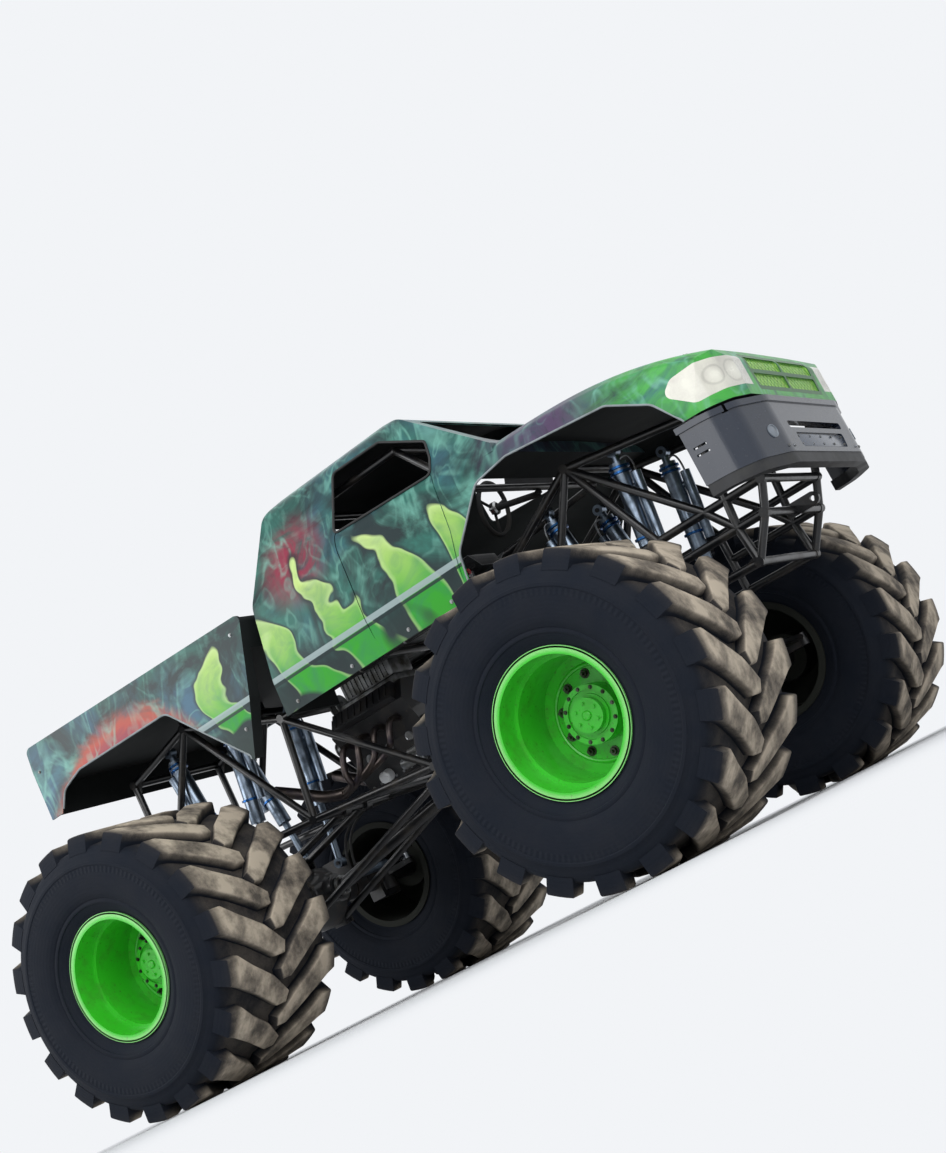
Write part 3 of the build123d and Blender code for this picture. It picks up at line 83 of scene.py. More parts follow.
# Joints of the side trusses, as x from the axle named last and height above the axles
JOINTS = {
    "tail_low": (REAR_X - 0.585, AXLE_Z + 0.492),
    "rear_low": (REAR_X + 0.665, AXLE_Z + 0.402),
    "mid_low": (MID_X, AXLE_Z + 0.312),
    "front_low": (FRONT_X - 0.655, AXLE_Z + 0.402),
    "nose_low": (FRONT_X + 0.757, AXLE_Z + 0.373),
    "nose_step": (FRONT_X + 0.911, AXLE_Z + 0.588),
    "nose_end": (FRONT_X + 1.105, AXLE_Z + 1.062),
    "tail_top": (REAR_X - 0.585, AXLE_Z + 1.222),
    "rear_tower": (REAR_X, AXLE_Z + 1.362),
    "rear_knee": (REAR_X + 0.765, AXLE_Z + 1.062),
    "mid_top": (MID_X, AXLE_Z + 1.062),
    "cab_knee": (FRONT_X - 0.655, AXLE_Z + 1.062),
    "front_tower": (FRONT_X, AXLE_Z + 1.392),
    "nose_top": (FRONT_X + 0.795, AXLE_Z + 1.252),
    "brace_mid": (FRONT_X - 0.422, AXLE_Z + 0.754),
    "post_low": (FRONT_X + 0.295, AXLE_Z + 0.382),
    "nose_mid": (FRONT_X + 0.751, AXLE_Z + 0.754),
}
GUSSETS = (  # joint, then the two joints that its tubes run to
    ("front_low", "mid_low", "cab_knee"),
    ("cab_knee", "mid_top", "front_low"),
    ("mid_low", "rear_low", "rear_knee"),
    ("rear_low", "tail_low", "rear_tower"),
    ("rear_knee", "rear_tower", "mid_top"),
    ("front_tower", "cab_knee", "brace_mid"),
    ("nose_top", "nose_end", "nose_mid"),
    ("tail_low", "rear_low", "tail_top"),
    ("tail_top", "rear_tower", "tail_low"),
    ("nose_low", "post_low", "nose_step"),
    ("rear_tower", "rear_knee", "rear_low"),
)

# Openings of the body, as x from the front or rear axle and height above the axles
FRONT_ARCH = [(FRONT_X + x, AXLE_Z + z) for x, z in (
    (-0.585, 0.94), (-0.53, 1.182), (-0.265, 1.462), (-0.035, 1.497), (0.605, 1.417), (0.835, 1.282),
    (0.945, 1.122), (0.95, 1.1))]
REAR_ARCH = [(REAR_X + x, AXLE_Z + z) for x, z in (
    (0.858, 0.83), (0.86, 0.852), (0.575, 1.172), (0.385, 1.367), (-0.455, 1.382), (-0.635, 1.322),
    (-0.7, 1.215))]
SIDE_WINDOW = [(FRONT_X + x, AXLE_Z + z) for x, z in (
    (-1.27, 1.707), (-1.2, 2.072), (-0.825, 2.062), (-0.5, 1.872), (-0.49, 1.757), (-0.51, 1.662))]


class TyreSettings(bpy.types.PropertyGroup):
    """Sizes of the tread and the colours of the rubber."""

    lugs: IntProperty(name="Lugs a side", description="Tread bars in each of the two rows", default=18, min=8)
    lug_depth: FloatProperty(name="Lug depth", description="Height of a tread bar above the carcass",
                             default=65 * MM, unit="LENGTH")
    wear: FloatProperty(name="Edge wear", description="Rounding of the bars' worn edges", default=13 * MM,
                        unit="LENGTH")
    rubber: StringProperty(name="Rubber", description="Colour of the clean side wall", default="#0B131F")
    dust: StringProperty(name="Dust", description="Colour of dried earth on the tread", default="#C9BCA9")
    earth: StringProperty(name="Earth", description="Colour of damp earth between the bars", default="#574A3D")


class RimSettings(bpy.types.PropertyGroup):
    """Sizes of the wheel's fasteners and the colour of its coat."""

    studs: IntProperty(name="Studs", description="Wheel nuts on the disc", default=10, min=5)
    stud_circle: FloatProperty(name="Stud circle", description="Radius of the ring of wheel nuts",
                               default=205 * MM, unit="LENGTH")
    coat: StringProperty(name="Coat", description="Colour of the powder coat", default="#3CC72C")


class PaintSettings(bpy.types.PropertyGroup):
    """Colours of the airbrushed body."""

    night: StringProperty(name="Night", description="Darkest ground colour", default="#0B2427")
    teal: StringProperty(name="Teal", description="Lighter ground colour", default="#2C7265")
    mist: StringProperty(name="Mist", description="Bluer ground colour", default="#35617A")
    vein: StringProperty(name="Vein", description="Pale wisps on the ground", default="#7FBFAE")
    lime: StringProperty(name="Lime", description="Foot of the flames", default="#2DA323")
    lemon: StringProperty(name="Lemon", description="Tips of the flames", default="#BFDA7C")
    stripe: StringProperty(name="Stripe", description="Coach line along the sides", default="#9DAFB0")
    ember: StringProperty(name="Ember", description="Glow round the rear wheel arch", default="#B8452A")
    plum: StringProperty(name="Plum", description="Smoke on the fenders", default="#584264")
    crimson: StringProperty(name="Crimson", description="Smoke on the cab's rear quarter", default="#8A2740")
    nose: StringProperty(name="Nose", description="Green of the nose and the hood's edge", default="#49AE47")
    stripe_z: FloatProperty(name="Stripe height", description="Height of the coach line above the floor",
                            default=1.985, unit="LENGTH")
    flame_pitch: FloatProperty(name="Flame pitch", description="Distance between two flames", default=0.46,
                               unit="LENGTH")
    flame_height: FloatProperty(name="Flame height", description="Height of the tallest flames", default=0.8,
                                unit="LENGTH")


class StageSettings(bpy.types.PropertyGroup):
    """Place, aim, lean and lens of the camera."""

    azimuth: FloatProperty(name="Azimuth", description="Turn of the camera towards the nose",
                           default=math.radians(29), subtype="ANGLE")
    distance: FloatProperty(name="Distance", description="Camera to its aim, across the floor", default=10.0,
                            unit="LENGTH")
    aim_x: FloatProperty(name="Aim forward", description="Place along the truck that the camera looks at",
                         default=0.378, unit="LENGTH")
    aim_z: FloatProperty(name="Aim height", description="Height that the camera looks at", default=2.098,
                         unit="LENGTH")
    height: FloatProperty(name="Camera height", description="Camera above the floor", default=0.05, unit="LENGTH")
    roll: FloatProperty(name="Roll", description="Lean of the camera, as in the photograph",
                        default=math.radians(-26.7), subtype="ANGLE")
    focal: FloatProperty(name="Focal length", description="Lens, in millimetres", default=51.8)


# Shapes


def turned(place, direction):
    """Matrix that stands a shape's own Z along a direction at a place."""
    place, direction = Vector(place), Vector(direction)
    return Matrix.Translation(place) @ direction.to_track_quat("Z", "Y").to_matrix().to_4x4()


def add_object(name, data):
    """Object of a mesh, lamp or camera, put in the scene."""
    made = bpy.data.objects.new(name, data)
    bpy.context.scene.collection.objects.link(made)
    return made


def as_mesh(name, builder):
    """Mesh of a finished bmesh, which is freed."""
    mesh = bpy.data.meshes.new(name)
    builder.to_mesh(mesh)
    builder.free()
    return mesh


def absorb(builder, part):
    """Move the shape of one bmesh into another."""
    mesh = as_mesh("part", part)
    builder.from_mesh(mesh)
    bpy.data.meshes.remove(mesh)


def place_mesh(name, builder, materials, body="chassis", smooth=35.0):
    """Object from a finished bmesh, shaded smooth below an angle in degrees, riding on a body."""
    mesh = as_mesh(name, builder)
    for material in materials if isinstance(materials, (list, tuple)) else [materials]:
        mesh.materials.append(material)
    mesh.shade_smooth()
    mesh.set_sharp_from_angle(angle=math.radians(smooth))
    piece = add_object(name, mesh)
    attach(piece, body)
    return piece


def spun(builder, profile, centre, direction, steps, closed=True):
    """Profile of (along the axle, radius) points spun about an axis through the centre."""
    stand = turned(centre, direction)
    points = [builder.verts.new(stand @ Vector((r, 0, along))) for along, r in profile]
    edges = [builder.edges.new(pair) for pair in zip(points, points[1:])]
    if closed:
        edges.append(builder.edges.new((points[-1], points[0])))
    bmesh.ops.spin(builder, geom=points + edges, cent=Vector(centre), axis=Vector(direction), dvec=(0, 0, 0),
                   angle=2 * math.pi, steps=steps, use_merge=True)
    bmesh.ops.remove_doubles(builder, verts=builder.verts, dist=1e-6)
    bmesh.ops.recalc_face_normals(builder, faces=builder.faces)


def peg(builder, middle_point, direction, foot, top, height, sides):
    """Solid peg along a direction, with a radius at its foot and one at its top."""
    bmesh.ops.create_cone(builder, cap_ends=True, segments=sides, radius1=foot, radius2=top, depth=height,
                          matrix=turned(middle_point, direction))


def hex_heads(builder, places, direction, across, height):
    """Hexagonal bolt heads that stand on their places, each with a washer under it.

    A hexagon's corners lie at 0.577 of its width across flats; the top of the head is chamfered.
    """
    direction = Vector(direction).normalized()
    for place in places:
        rise = direction * height
        peg(builder, Vector(place) + rise * 0.1, direction, across * 0.78, across * 0.76, height * 0.3, 12)
        peg(builder, Vector(place) + rise * 0.6, direction, across * 0.577, across * 0.52, height, 6)


def ring_places(centre, direction, radius, count, start=0.0):
    """Places spaced evenly round a circle."""
    stand = turned(centre, direction)
    angles = [start + 2 * math.pi * i / count for i in range(count)]
    return [stand @ Vector((radius * math.cos(a), radius * math.sin(a), 0)) for a in angles]


def round_off(builder, edges, width, segments=2):
    """Round edges off by a width."""
    bmesh.ops.bevel(builder, geom=edges, offset=width, offset_type="OFFSET", segments=segments, profile=0.5,
                    affect="EDGES", material=-1)


def new_verts(grown):
    """Vertices among what an extrusion made."""
    return [item for item in grown["geom"] if isinstance(item, bmesh.types.BMVert)]


def cut(builder, place, normal, clear=False):
    """Cut everything along a plane, and clear what lies beyond it where that is asked."""
    everything = builder.verts[:] + builder.edges[:] + builder.faces[:]
    bmesh.ops.bisect_plane(builder, geom=everything, plane_co=place, plane_no=normal, clear_outer=clear)


def block(builder, low, high, bevel=0.0):
    """Box between two corners with its edges bevelled."""
    low, high = Vector(low), Vector(high)
    size = high - low
    matrix = Matrix.Translation((low + high) / 2) @ Matrix.Diagonal((*size, 1))
    made = bmesh.ops.create_cube(builder, size=1, matrix=matrix)["verts"]
    if bevel:
        round_off(builder, list({edge for vert in made for edge in vert.link_edges}), bevel)
    return made


def plate(builder, outline, thick, bevel=0.0):
    """Flat outline of 3-D points made into a plate, thickened both ways from its middle."""
    outline = [Vector(point) for point in outline]
    normal = (outline[1] - outline[0]).cross(outline[2] - outline[1]).normalized()
    face = builder.faces.new([builder.verts.new(point - normal * thick / 2) for point in outline])
    grown = bmesh.ops.extrude_face_region(builder, geom=[face])
    bmesh.ops.translate(builder, verts=new_verts(grown), vec=normal * thick)
    if bevel:
        round_off(builder, [item for item in grown["geom"] if isinstance(item, bmesh.types.BMEdge)], bevel)
    bmesh.ops.recalc_face_normals(builder, faces=builder.faces)


def tubes(name, lines, radius, material, kind="NURBS", closed=False, sides=3):
    """Round tubes along smooth or straight lines of points, riding on the chassis."""
    curve = bpy.data.curves.new(name, "CURVE")
    curve.dimensions = "3D"
    curve.bevel_depth = radius
    curve.bevel_resolution = sides
    curve.use_fill_caps = True
    for line in lines:
        spline = curve.splines.new(kind)
        spline.points.add(len(line) - 1)
        for point, place in zip(spline.points, line):
            point.co = (*place, 1)
        spline.use_cyclic_u = closed
        if kind == "NURBS":
            spline.order_u = 3
            spline.use_endpoint_u = not closed
            spline.resolution_u = 8
    holder = bpy.data.objects.new(name, curve)
    mesh = bpy.data.meshes.new_from_object(holder)
    bpy.data.objects.remove(holder)
    builder = bmesh.new()
    builder.from_mesh(mesh)
    bpy.data.meshes.remove(mesh)
    bmesh.ops.remove_doubles(builder, verts=builder.verts, dist=1e-5)
    return place_mesh(name, builder, material)


def rounded(outline, radius, closed=False, steps=5):
    """Flat outline of (a, b) points with its corners turned into arcs."""
    points = [Vector(point) for point in outline]
    count = len(points)
    turned_points = []
    for i, corner in enumerate(points):
        if not closed and i in (0, count - 1):
            turned_points.append(corner)
            continue
        back, ahead = points[i - 1] - corner, points[(i + 1) % count] - corner
        angle = back.angle(ahead)
        # an arc takes less than half of each edge, so that the next corner's arc has room
        run = min(radius / math.tan(angle / 2), back.length * 0.49, ahead.length * 0.49)
        start, end = corner + back.normalized() * run, corner + ahead.normalized() * run
        for step in range(steps + 1):
            t = step / steps
            turned_points.append(start.lerp(corner, t).lerp(corner.lerp(end, t), t))
    return turned_points


def first_hit(nodes, start, direction):
    """First point that a ray meets on the outside of the named nodes, with its normal, or None."""
    start, hits = Vector(start), []
    for node in nodes:
        found, place, normal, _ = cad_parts[node].ray_cast(start, Vector(direction))
        if found:
            hits.append((place, normal))
    return min(hits, key=lambda hit: (hit[0] - start).length, default=None)


def surface_point(nodes, start, direction):
    """First point that a ray meets on the outside of the named nodes, which it has to meet."""
    hit = first_hit(nodes, start, direction)
    if hit is None:
        raise RuntimeError(f"nothing at {tuple(start)} on {nodes}")
    return hit


# Finishes


def linear(colour):
    """Linear RGBA of an sRGB hex colour."""
    parts = [int(colour[i:i + 2], 16) / 255 for i in (1, 3, 5)]
    return tuple(c / 12.92 if c <= 0.04045 else ((c + 0.055) / 1.055) ** 2.4 for c in parts) + (1.0,)


def add_node(tree, kind, inputs=None, **settings):
    """Add a shader node, set its properties, link or set its inputs, and give its first output."""
    node = tree.nodes.new(f"ShaderNode{kind}")
    for name, value in settings.items():
        setattr(node, name, value)
    for key, value in (inputs or {}).items():
        if isinstance(value, bpy.types.NodeSocket):
            tree.links.new(value, node.inputs[key])
        else:
            node.inputs[key].default_value = linear(value) if isinstance(value, str) else value
    return next(socket for socket in node.outputs if socket.enabled)


def new_finish(name, **sockets):
    """Material with the plain values of its shader set, its nodes and its object coordinates."""
    material = bpy.data.materials.new(name)
    material.use_nodes = True
    tree = material.node_tree
    for key, value in sockets.items():
        tree.nodes["Principled BSDF"].inputs[key.replace("_", " ")].default_value = value
    return material, tree, add_node(tree, "TexCoord").node.outputs["Object"]


def finished(material, **sockets):
    """Link what was drawn to the sockets of a material's shader, and give the material."""
    tree = material.node_tree
    for key, value in sockets.items():
        tree.links.new(value, tree.nodes["Principled BSDF"].inputs[key.replace("_", " ")])
    return material


def from_axle(tree, local):
    """Distance of local coordinates from the Y axis."""
    flat = add_node(tree, "VectorMath", {0: local, 1: (1, 0, 1)}, operation="MULTIPLY")
    return add_node(tree, "VectorMath", {0: flat}, operation="LENGTH").node.outputs["Value"]


def seen_by(tree):
    """1 for the rays of the camera, of mirrors and of glass, and otherwise 0."""
    rays = add_node(tree, "LightPath").node.outputs
    seen = rays["Is Camera Ray"]
    for kind in ("Is Glossy Ray", "Is Transmission Ray"):
        seen = add_node(tree, "Math", {0: seen, 1: rays[kind]}, operation="MAXIMUM")
    return seen


def dress(node, material):
    """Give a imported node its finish."""
    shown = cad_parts[node]
    shown.data.materials.clear()
    shown.data.materials.append(material)


def dusty_rubber(name, centre, settings, low, high):
    """Moulded rubber: matt blue-black, with tan dried earth that thickens between two radii."""
    material, tree, place = new_finish(name, Roughness=0.84, Specular_IOR_Level=0.22)
    local = add_node(tree, "VectorMath", {0: place, 1: centre}, operation="SUBTRACT")
    radius = from_axle(tree, local)
    smear = add_node(tree, "TexNoise", {"Vector": local, "Scale": 6.0, "Detail": 9.0, "Roughness": 0.62})
    grit = add_node(tree, "TexNoise", {"Vector": local, "Scale": 170.0, "Detail": 4.0})
    # earth lies thicker towards the tread, in blotches
    height = add_node(tree, "MapRange", {"Value": radius, 1: low, 2: high})
    blotch = add_node(tree, "MapRange", {"Value": smear, 1: 0.34, 2: 0.6, 3: 0.25, 4: 0.95})
    thick = add_node(tree, "Math", {0: height, 1: blotch}, operation="MULTIPLY")
    # and thinner on the side walls and on faces that look sideways
    axes = add_node(tree, "SeparateXYZ", {0: local}).node.outputs
    wide = add_node(tree, "Math", {0: axes["Y"]}, operation="ABSOLUTE")
    inner = add_node(tree, "MapRange", {"Value": wide, 1: 0.4, 2: 0.49, 3: 1.0, 4: 0.12})
    thick = add_node(tree, "Math", {0: thick, 1: inner}, operation="MULTIPLY")
    facing = add_node(tree, "NewGeometry").node.outputs["Normal"]
    facing = add_node(tree, "SeparateXYZ", {0: facing}).node.outputs["Y"]
    facing = add_node(tree, "Math", {0: facing}, operation="ABSOLUTE")
    tops = add_node(tree, "MapRange", {"Value": facing, 1: 0.3, 2: 0.8, 3: 1.0, 4: 0.15})
    thick = add_node(tree, "Math", {0: thick, 1: tops}, operation="MULTIPLY")
    film = add_node(tree, "Math", {0: blotch, 1: 0.012, 2: thick}, operation="MULTIPLY_ADD", use_clamp=True)
    clod = add_node(tree, "Mix", {0: grit, 6: settings.earth, 7: settings.dust}, data_type="RGBA")
    dry = add_node(tree, "Mix", {0: thick, 6: clod, 7: settings.dust}, data_type="RGBA")
    colour = add_node(tree, "Mix", {0: film, 6: settings.rubber, 7: dry}, data_type="RGBA")
    # mould rings on the wall
    ring_pitch, teeth_count = 22 * MM, 130.0
    rings = add_node(tree, "Math", {0: radius, 1: 2 * math.pi / ring_pitch}, operation="MULTIPLY")
    wave = add_node(tree, "Math", {0: rings}, operation="SINE")
    mould = add_node(tree, "Bump", {"Height": wave, "Strength": 0.12, "Distance": 0.002})
    # ring of radial serrations above the bead, fewer and wider than the real ones, which are finer than a pixel
    around = add_node(tree, "Math", {0: axes["X"], 1: axes["Z"]}, operation="ARCTAN2")
    around = add_node(tree, "Math", {0: around, 1: teeth_count}, operation="MULTIPLY")
    teeth = add_node(tree, "Math", {0: around}, operation="SINE")
    ring = add_node(tree, "Math", {0: radius, 1: 0.635, 2: 0.018}, operation="COMPARE")
    teeth = add_node(tree, "Math", {0: teeth, 1: ring}, operation="MULTIPLY")
    mould = add_node(tree, "Bump", {"Height": teeth, "Strength": 0.5, "Distance": 0.003, "Normal": mould})
    # dents of the smeared earth, and the grain of the dust
    mould = add_node(tree, "Bump", {"Height": smear, "Strength": 0.3, "Distance": 0.01, "Normal": mould})
    bump = add_node(tree, "Bump", {"Height": grit, "Strength": 0.35, "Distance": 0.003, "Normal": mould})
    return finished(material, Base_Color=colour, Normal=bump)


def powder_coat(name, colour, dirt, gloss, soiled=1.0, centre=(0, 0, 0), black_side=0, highlight_radius=None):
    """Powder coat or enamel on steel: an orange-peel skin, glossy where wiped, under a haze and specks of dirt.

    Where a black side is given, what lies on that side of the centre along Y is made near black and matt.
    Beyond the highlight radius about Y a pale painted highlight is laid on the coat.
    """
    material, tree, place = new_finish(name)
    local = add_node(tree, "VectorMath", {0: place, 1: centre}, operation="SUBTRACT")
    smear = add_node(tree, "TexNoise", {"Vector": local, "Scale": 8.0, "Detail": 8.0, "Roughness": 0.62})
    speck = add_node(tree, "TexNoise", {"Vector": local, "Scale": 60.0, "Detail": 4.0})
    haze = add_node(tree, "MapRange", {"Value": smear, 1: 0.5, 2: 0.85, 3: 0.0, 4: 0.6 * soiled})
    spots = add_node(tree, "MapRange", {"Value": speck, 1: 0.64, 2: 0.7, 3: 0.0, 4: 0.5 * soiled})
    soil = add_node(tree, "Math", {0: haze, 1: spots}, operation="ADD", use_clamp=True)
    tone = add_node(tree, "Mix", {0: soil, 6: colour, 7: dirt}, data_type="RGBA")
    # a pale painted highlight on the coat beyond the highlight radius about Y
    if highlight_radius:
        pale = add_node(tree, "MapRange", {"Value": from_axle(tree, local), 1: highlight_radius - 0.012, 2: highlight_radius + 0.004,
                                           3: 0.0, 4: 0.35})
        tone = add_node(tree, "Mix", {0: pale, 6: tone, 7: "#C6F5B4"}, data_type="RGBA")
    # what lies on the black side of the centre along Y is made near black and matt
    if black_side:
        across = add_node(tree, "SeparateXYZ", {0: local}).node.outputs["Y"]
        black_share = add_node(tree, "MapRange", {"Value": across, 1: black_side * -0.034, 2: black_side * -0.041,
                                            3: 1.0, 4: 0.0})
        tone = add_node(tree, "Mix", {0: black_share, 6: tone, 7: "#14170F"}, data_type="RGBA")
        soil = add_node(tree, "Math", {0: soil, 1: black_share}, operation="MAXIMUM")
    rough = add_node(tree, "MapRange", {"Value": soil, 3: gloss, 4: 0.85})
    coat = add_node(tree, "MapRange", {"Value": soil, 3: 0.3, 4: 0.0})
    # orange peel, drawn 15 mm across because the real 3 mm one is finer than a pixel
    peel = add_node(tree, "TexNoise", {"Vector": local, "Scale": 1 / (15 * MM), "Detail": 1.0})
    bump = add_node(tree, "Bump", {"Height": peel, "Strength": 0.05, "Distance": 0.001})
    return finished(material, Base_Color=tone, Roughness=rough, Coat_Weight=coat, Normal=bump)


def worn_metal(name, colour, stain, roughness):
    """Machined, plated or cast metal: a bright skin with a fine grain, dull where it is stained."""
    material, tree, place = new_finish(name, Metallic=1.0)
    blot = add_node(tree, "TexNoise", {"Vector": place, "Scale": 14.0, "Detail": 7.0})
    line = add_node(tree, "TexNoise", {"Vector": place, "Scale": 220.0, "Detail": 3.0})
    share = add_node(tree, "MapRange", {"Value": blot, 1: 0.42, 2: 0.72})
    tone = add_node(tree, "Mix", {0: share, 6: colour, 7: stain}, data_type="RGBA")
    rough = add_node(tree, "MapRange", {"Value": share, 3: roughness, 4: min(1.0, roughness + 0.3)})
    bump = add_node(tree, "Bump", {"Height": line, "Strength": 0.1, "Distance": 0.0008})
    return finished(material, Base_Color=tone, Roughness=rough, Normal=bump)


def moulded_plastic(name, colour, faded, roughness, grain_mm=1.5):
    """Moulded plastic or rubber: a fine grain, paler where it is scuffed and dusty."""
    material, tree, place = new_finish(name)
    scuff = add_node(tree, "TexNoise", {"Vector": place, "Scale": 9.0, "Detail": 8.0, "Roughness": 0.65})
    share = add_node(tree, "MapRange", {"Value": scuff, 1: 0.45, 2: 0.8})
    tone = add_node(tree, "Mix", {0: share, 6: colour, 7: faded}, data_type="RGBA")
    rough = add_node(tree, "MapRange", {"Value": share, 3: roughness, 4: min(1.0, roughness + 0.25)})
    grain = add_node(tree, "TexVoronoi", {"Vector": place, "Scale": 1 / (grain_mm * MM)})
    bump = add_node(tree, "Bump", {"Height": grain, "Strength": 0.08, "Distance": 0.0008})
    return finished(material, Base_Color=tone, Roughness=rough, Normal=bump)


def woven_cloth(name, colour, dark, thread_mm=3.0):
    """Woven polyester: crossed threads, soft and without gloss; the threads are drawn coarse enough to show."""
    material, tree, place = new_finish(name, Roughness=0.9, Sheen_Weight=0.3)
    scale = 0.05 / (thread_mm * MM)
    warp = add_node(tree, "TexWave", {"Vector": place, "Scale": scale}, bands_direction="Y")
    weft = add_node(tree, "TexWave", {"Vector": place, "Scale": scale}, bands_direction="Z")
    cross = add_node(tree, "Math", {0: warp, 1: weft}, operation="MULTIPLY")
    tone = add_node(tree, "Mix", {0: cross, 6: dark, 7: colour}, data_type="RGBA")
    bump = add_node(tree, "Bump", {"Height": cross, "Strength": 0.4, "Distance": 0.001})
    return finished(material, Base_Color=tone, Normal=bump)


def lacquer_skin(tree, place):
    """Faint orange peel of sprayed lacquer, drawn 6 mm across because the real 2 mm one is finer than a pixel."""
    peel = add_node(tree, "TexNoise", {"Vector": place, "Scale": 1 / (6 * MM), "Detail": 1.0})
    return add_node(tree, "Bump", {"Height": peel, "Strength": 0.04, "Distance": 0.001})


def airbrushed_paint(settings):
    """Airbrushed urethane under clear lacquer: smoky teal ground, wisps, licks of flame and a coach line."""
    material, tree, place = new_finish("airbrushed lacquer", Coat_Roughness=0.22, Specular_IOR_Level=0.25)
    x, _, z = add_node(tree, "SeparateXYZ", {0: place}).node.outputs
    facing = add_node(tree, "NewGeometry").node.outputs["Normal"]
    _, to_side, to_sky = add_node(tree, "SeparateXYZ", {0: facing}).node.outputs
    sideways = add_node(tree, "Math", {0: to_side}, operation="ABSOLUTE")
    on_side = add_node(tree, "MapRange", {"Value": sideways, 1: 0.45, 2: 0.75})

    # ground: slow smoke between night and teal, bluer in places
    smoke = add_node(tree, "TexNoise",
                     {"Vector": place, "Scale": 2.0, "Detail": 7.0, "Roughness": 0.62, "Distortion": 1.5})
    share = add_node(tree, "MapRange", {"Value": smoke, 1: 0.37, 2: 0.66})
    drift = add_node(tree, "TexNoise", {"Vector": place, "Scale": 1.7, "Detail": 2.0, "Distortion": 0.6})
    cool = add_node(tree, "MapRange", {"Value": drift, 1: 0.45, 2: 0.65})
    haze = add_node(tree, "Mix", {0: cool, 6: settings.teal, 7: settings.mist}, data_type="RGBA")
    painted = add_node(tree, "Mix", {0: share, 6: settings.night, 7: haze}, data_type="RGBA")
    # plum smoke on the front fender, crimson on the cab's rear quarter, embers round the rear arch, green nose
    cloud = add_node(tree, "TexNoise",
                     {"Vector": place, "Scale": 3.5, "Detail": 7.0, "Roughness": 0.6, "Distortion": 2.0})
    for centre, reach, core, colour, strength, thin in (
        ((FRONT_X + 0.25, 0, AXLE_Z + 1.42), 0.6, 0.1, settings.plum, 0.8, 0.34),
        ((FRONT_X - 1.62, 0, AXLE_Z + 1.72), 0.34, 0.1, settings.crimson, 1.0, 0.4),
        ((REAR_X - 0.08, 0, AXLE_Z + 0.75), 0.86, 0.7, settings.ember, 1.0, 0.2),
        ((REAR_X - 0.08, 0, AXLE_Z + 0.75), 0.76, 0.62, settings.crimson, 0.9, 0.1),
        ((FRONT_X + 1.25, 0, AXLE_Z + 1.42), 0.95, 0.3, settings.nose, 0.95, 0.4),
    ):
        away = add_node(tree, "VectorMath", {0: place, 1: centre}, operation="SUBTRACT")
        ragged = add_node(tree, "Math", {0: cloud, 1: 0.22, 2: from_axle(tree, away)}, operation="MULTIPLY_ADD")
        near = add_node(tree, "MapRange", {"Value": ragged, 1: core + 0.11, 2: reach + 0.11,
                                           3: strength, 4: 0.0}, interpolation_type="SMOOTHSTEP")
        patch = add_node(tree, "MapRange", {"Value": cloud, 1: thin - 0.1, 2: thin + 0.14})
        dab = add_node(tree, "Math", {0: near, 1: patch}, operation="MULTIPLY")
        painted = add_node(tree, "Mix", {0: dab, 6: painted, 7: colour}, data_type="RGBA")

    # wisps: thin ridges of two noises that are drawn out upwards
    upright = add_node(tree, "VectorMath", {0: place, 1: (1.0, 1.0, 0.5)}, operation="MULTIPLY")
    for scale, distortion, width, strength in ((2.2, 1.5, 0.045, 0.55), (4.6, 1.1, 0.06, 0.35)):
        curl = add_node(tree, "TexNoise",
                        {"Vector": upright, "Scale": scale, "Detail": 2.0, "Roughness": 0.5, "Distortion": distortion})
        off = add_node(tree, "Math", {0: curl, 1: 0.5}, operation="SUBTRACT")
        ridge = add_node(tree, "Math", {0: off}, operation="ABSOLUTE")
        wisp = add_node(tree, "MapRange", {"Value": ridge, 1: 0.0, 2: width, 3: strength, 4: 0.0},
                        interpolation_type="SMOOTHSTEP")
        faded = add_node(tree, "Math", {0: wisp, 1: share}, operation="MULTIPLY")
        painted = add_node(tree, "Mix", {0: faded, 6: painted, 7: settings.vein}, data_type="RGBA")

    # licks of flame: leaning bands that narrow as they rise
    rise = add_node(tree, "Math", {0: z, 1: settings.stripe_z - 0.17}, operation="SUBTRACT")
    height = add_node(tree, "Math", {0: rise, 1: settings.flame_height}, operation="DIVIDE")
    lean = add_node(tree, "Math", {0: rise, 1: 0.35, 2: x}, operation="MULTIPLY_ADD")
    bent = add_node(tree, "Math", {0: drift, 1: 0.75, 2: lean}, operation="MULTIPLY_ADD")
    turn = add_node(tree, "Math", {0: bent, 1: 2 * math.pi / settings.flame_pitch}, operation="MULTIPLY")
    band = add_node(tree, "Math", {0: turn}, operation="COSINE")
    stand = add_node(tree, "TexNoise", {"Vector": place, "Scale": 2.4, "Detail": 1.0})
    tall = add_node(tree, "MapRange", {"Value": stand, 1: 0.35, 2: 0.65, 3: 2.7, 4: 1.6})
    taper = add_node(tree, "Math", {0: height, 1: tall}, operation="MULTIPLY")
    inside = add_node(tree, "Math", {0: band, 1: taper}, operation="SUBTRACT")
    inside = add_node(tree, "Math", {0: inside, 1: 0.7}, operation="ADD")
    behind = add_node(tree, "MapRange", {"Value": x, 1: FRONT_X - 0.5, 2: FRONT_X - 0.2, 3: 1.0, 4: 0.0})
    ahead = add_node(tree, "MapRange", {"Value": x, 1: REAR_X + 0.35, 2: REAR_X + 0.75})
    among = add_node(tree, "Math", {0: behind, 1: ahead}, operation="MULTIPLY")
    lost = add_node(tree, "MapRange", {"Value": among, 3: 1.8, 4: 0.0})
    inside = add_node(tree, "Math", {0: inside, 1: lost}, operation="SUBTRACT")
    foot = add_node(tree, "Math", {0: stand, 1: 0.7, 2: rise}, operation="MULTIPLY_ADD")
    above = add_node(tree, "MapRange", {"Value": foot, 1: 0.33, 2: 0.37})
    zone = add_node(tree, "Math", {0: above, 1: on_side}, operation="MULTIPLY")
    fill = add_node(tree, "MapRange", {"Value": height, 1: 0.16, 2: 0.75})
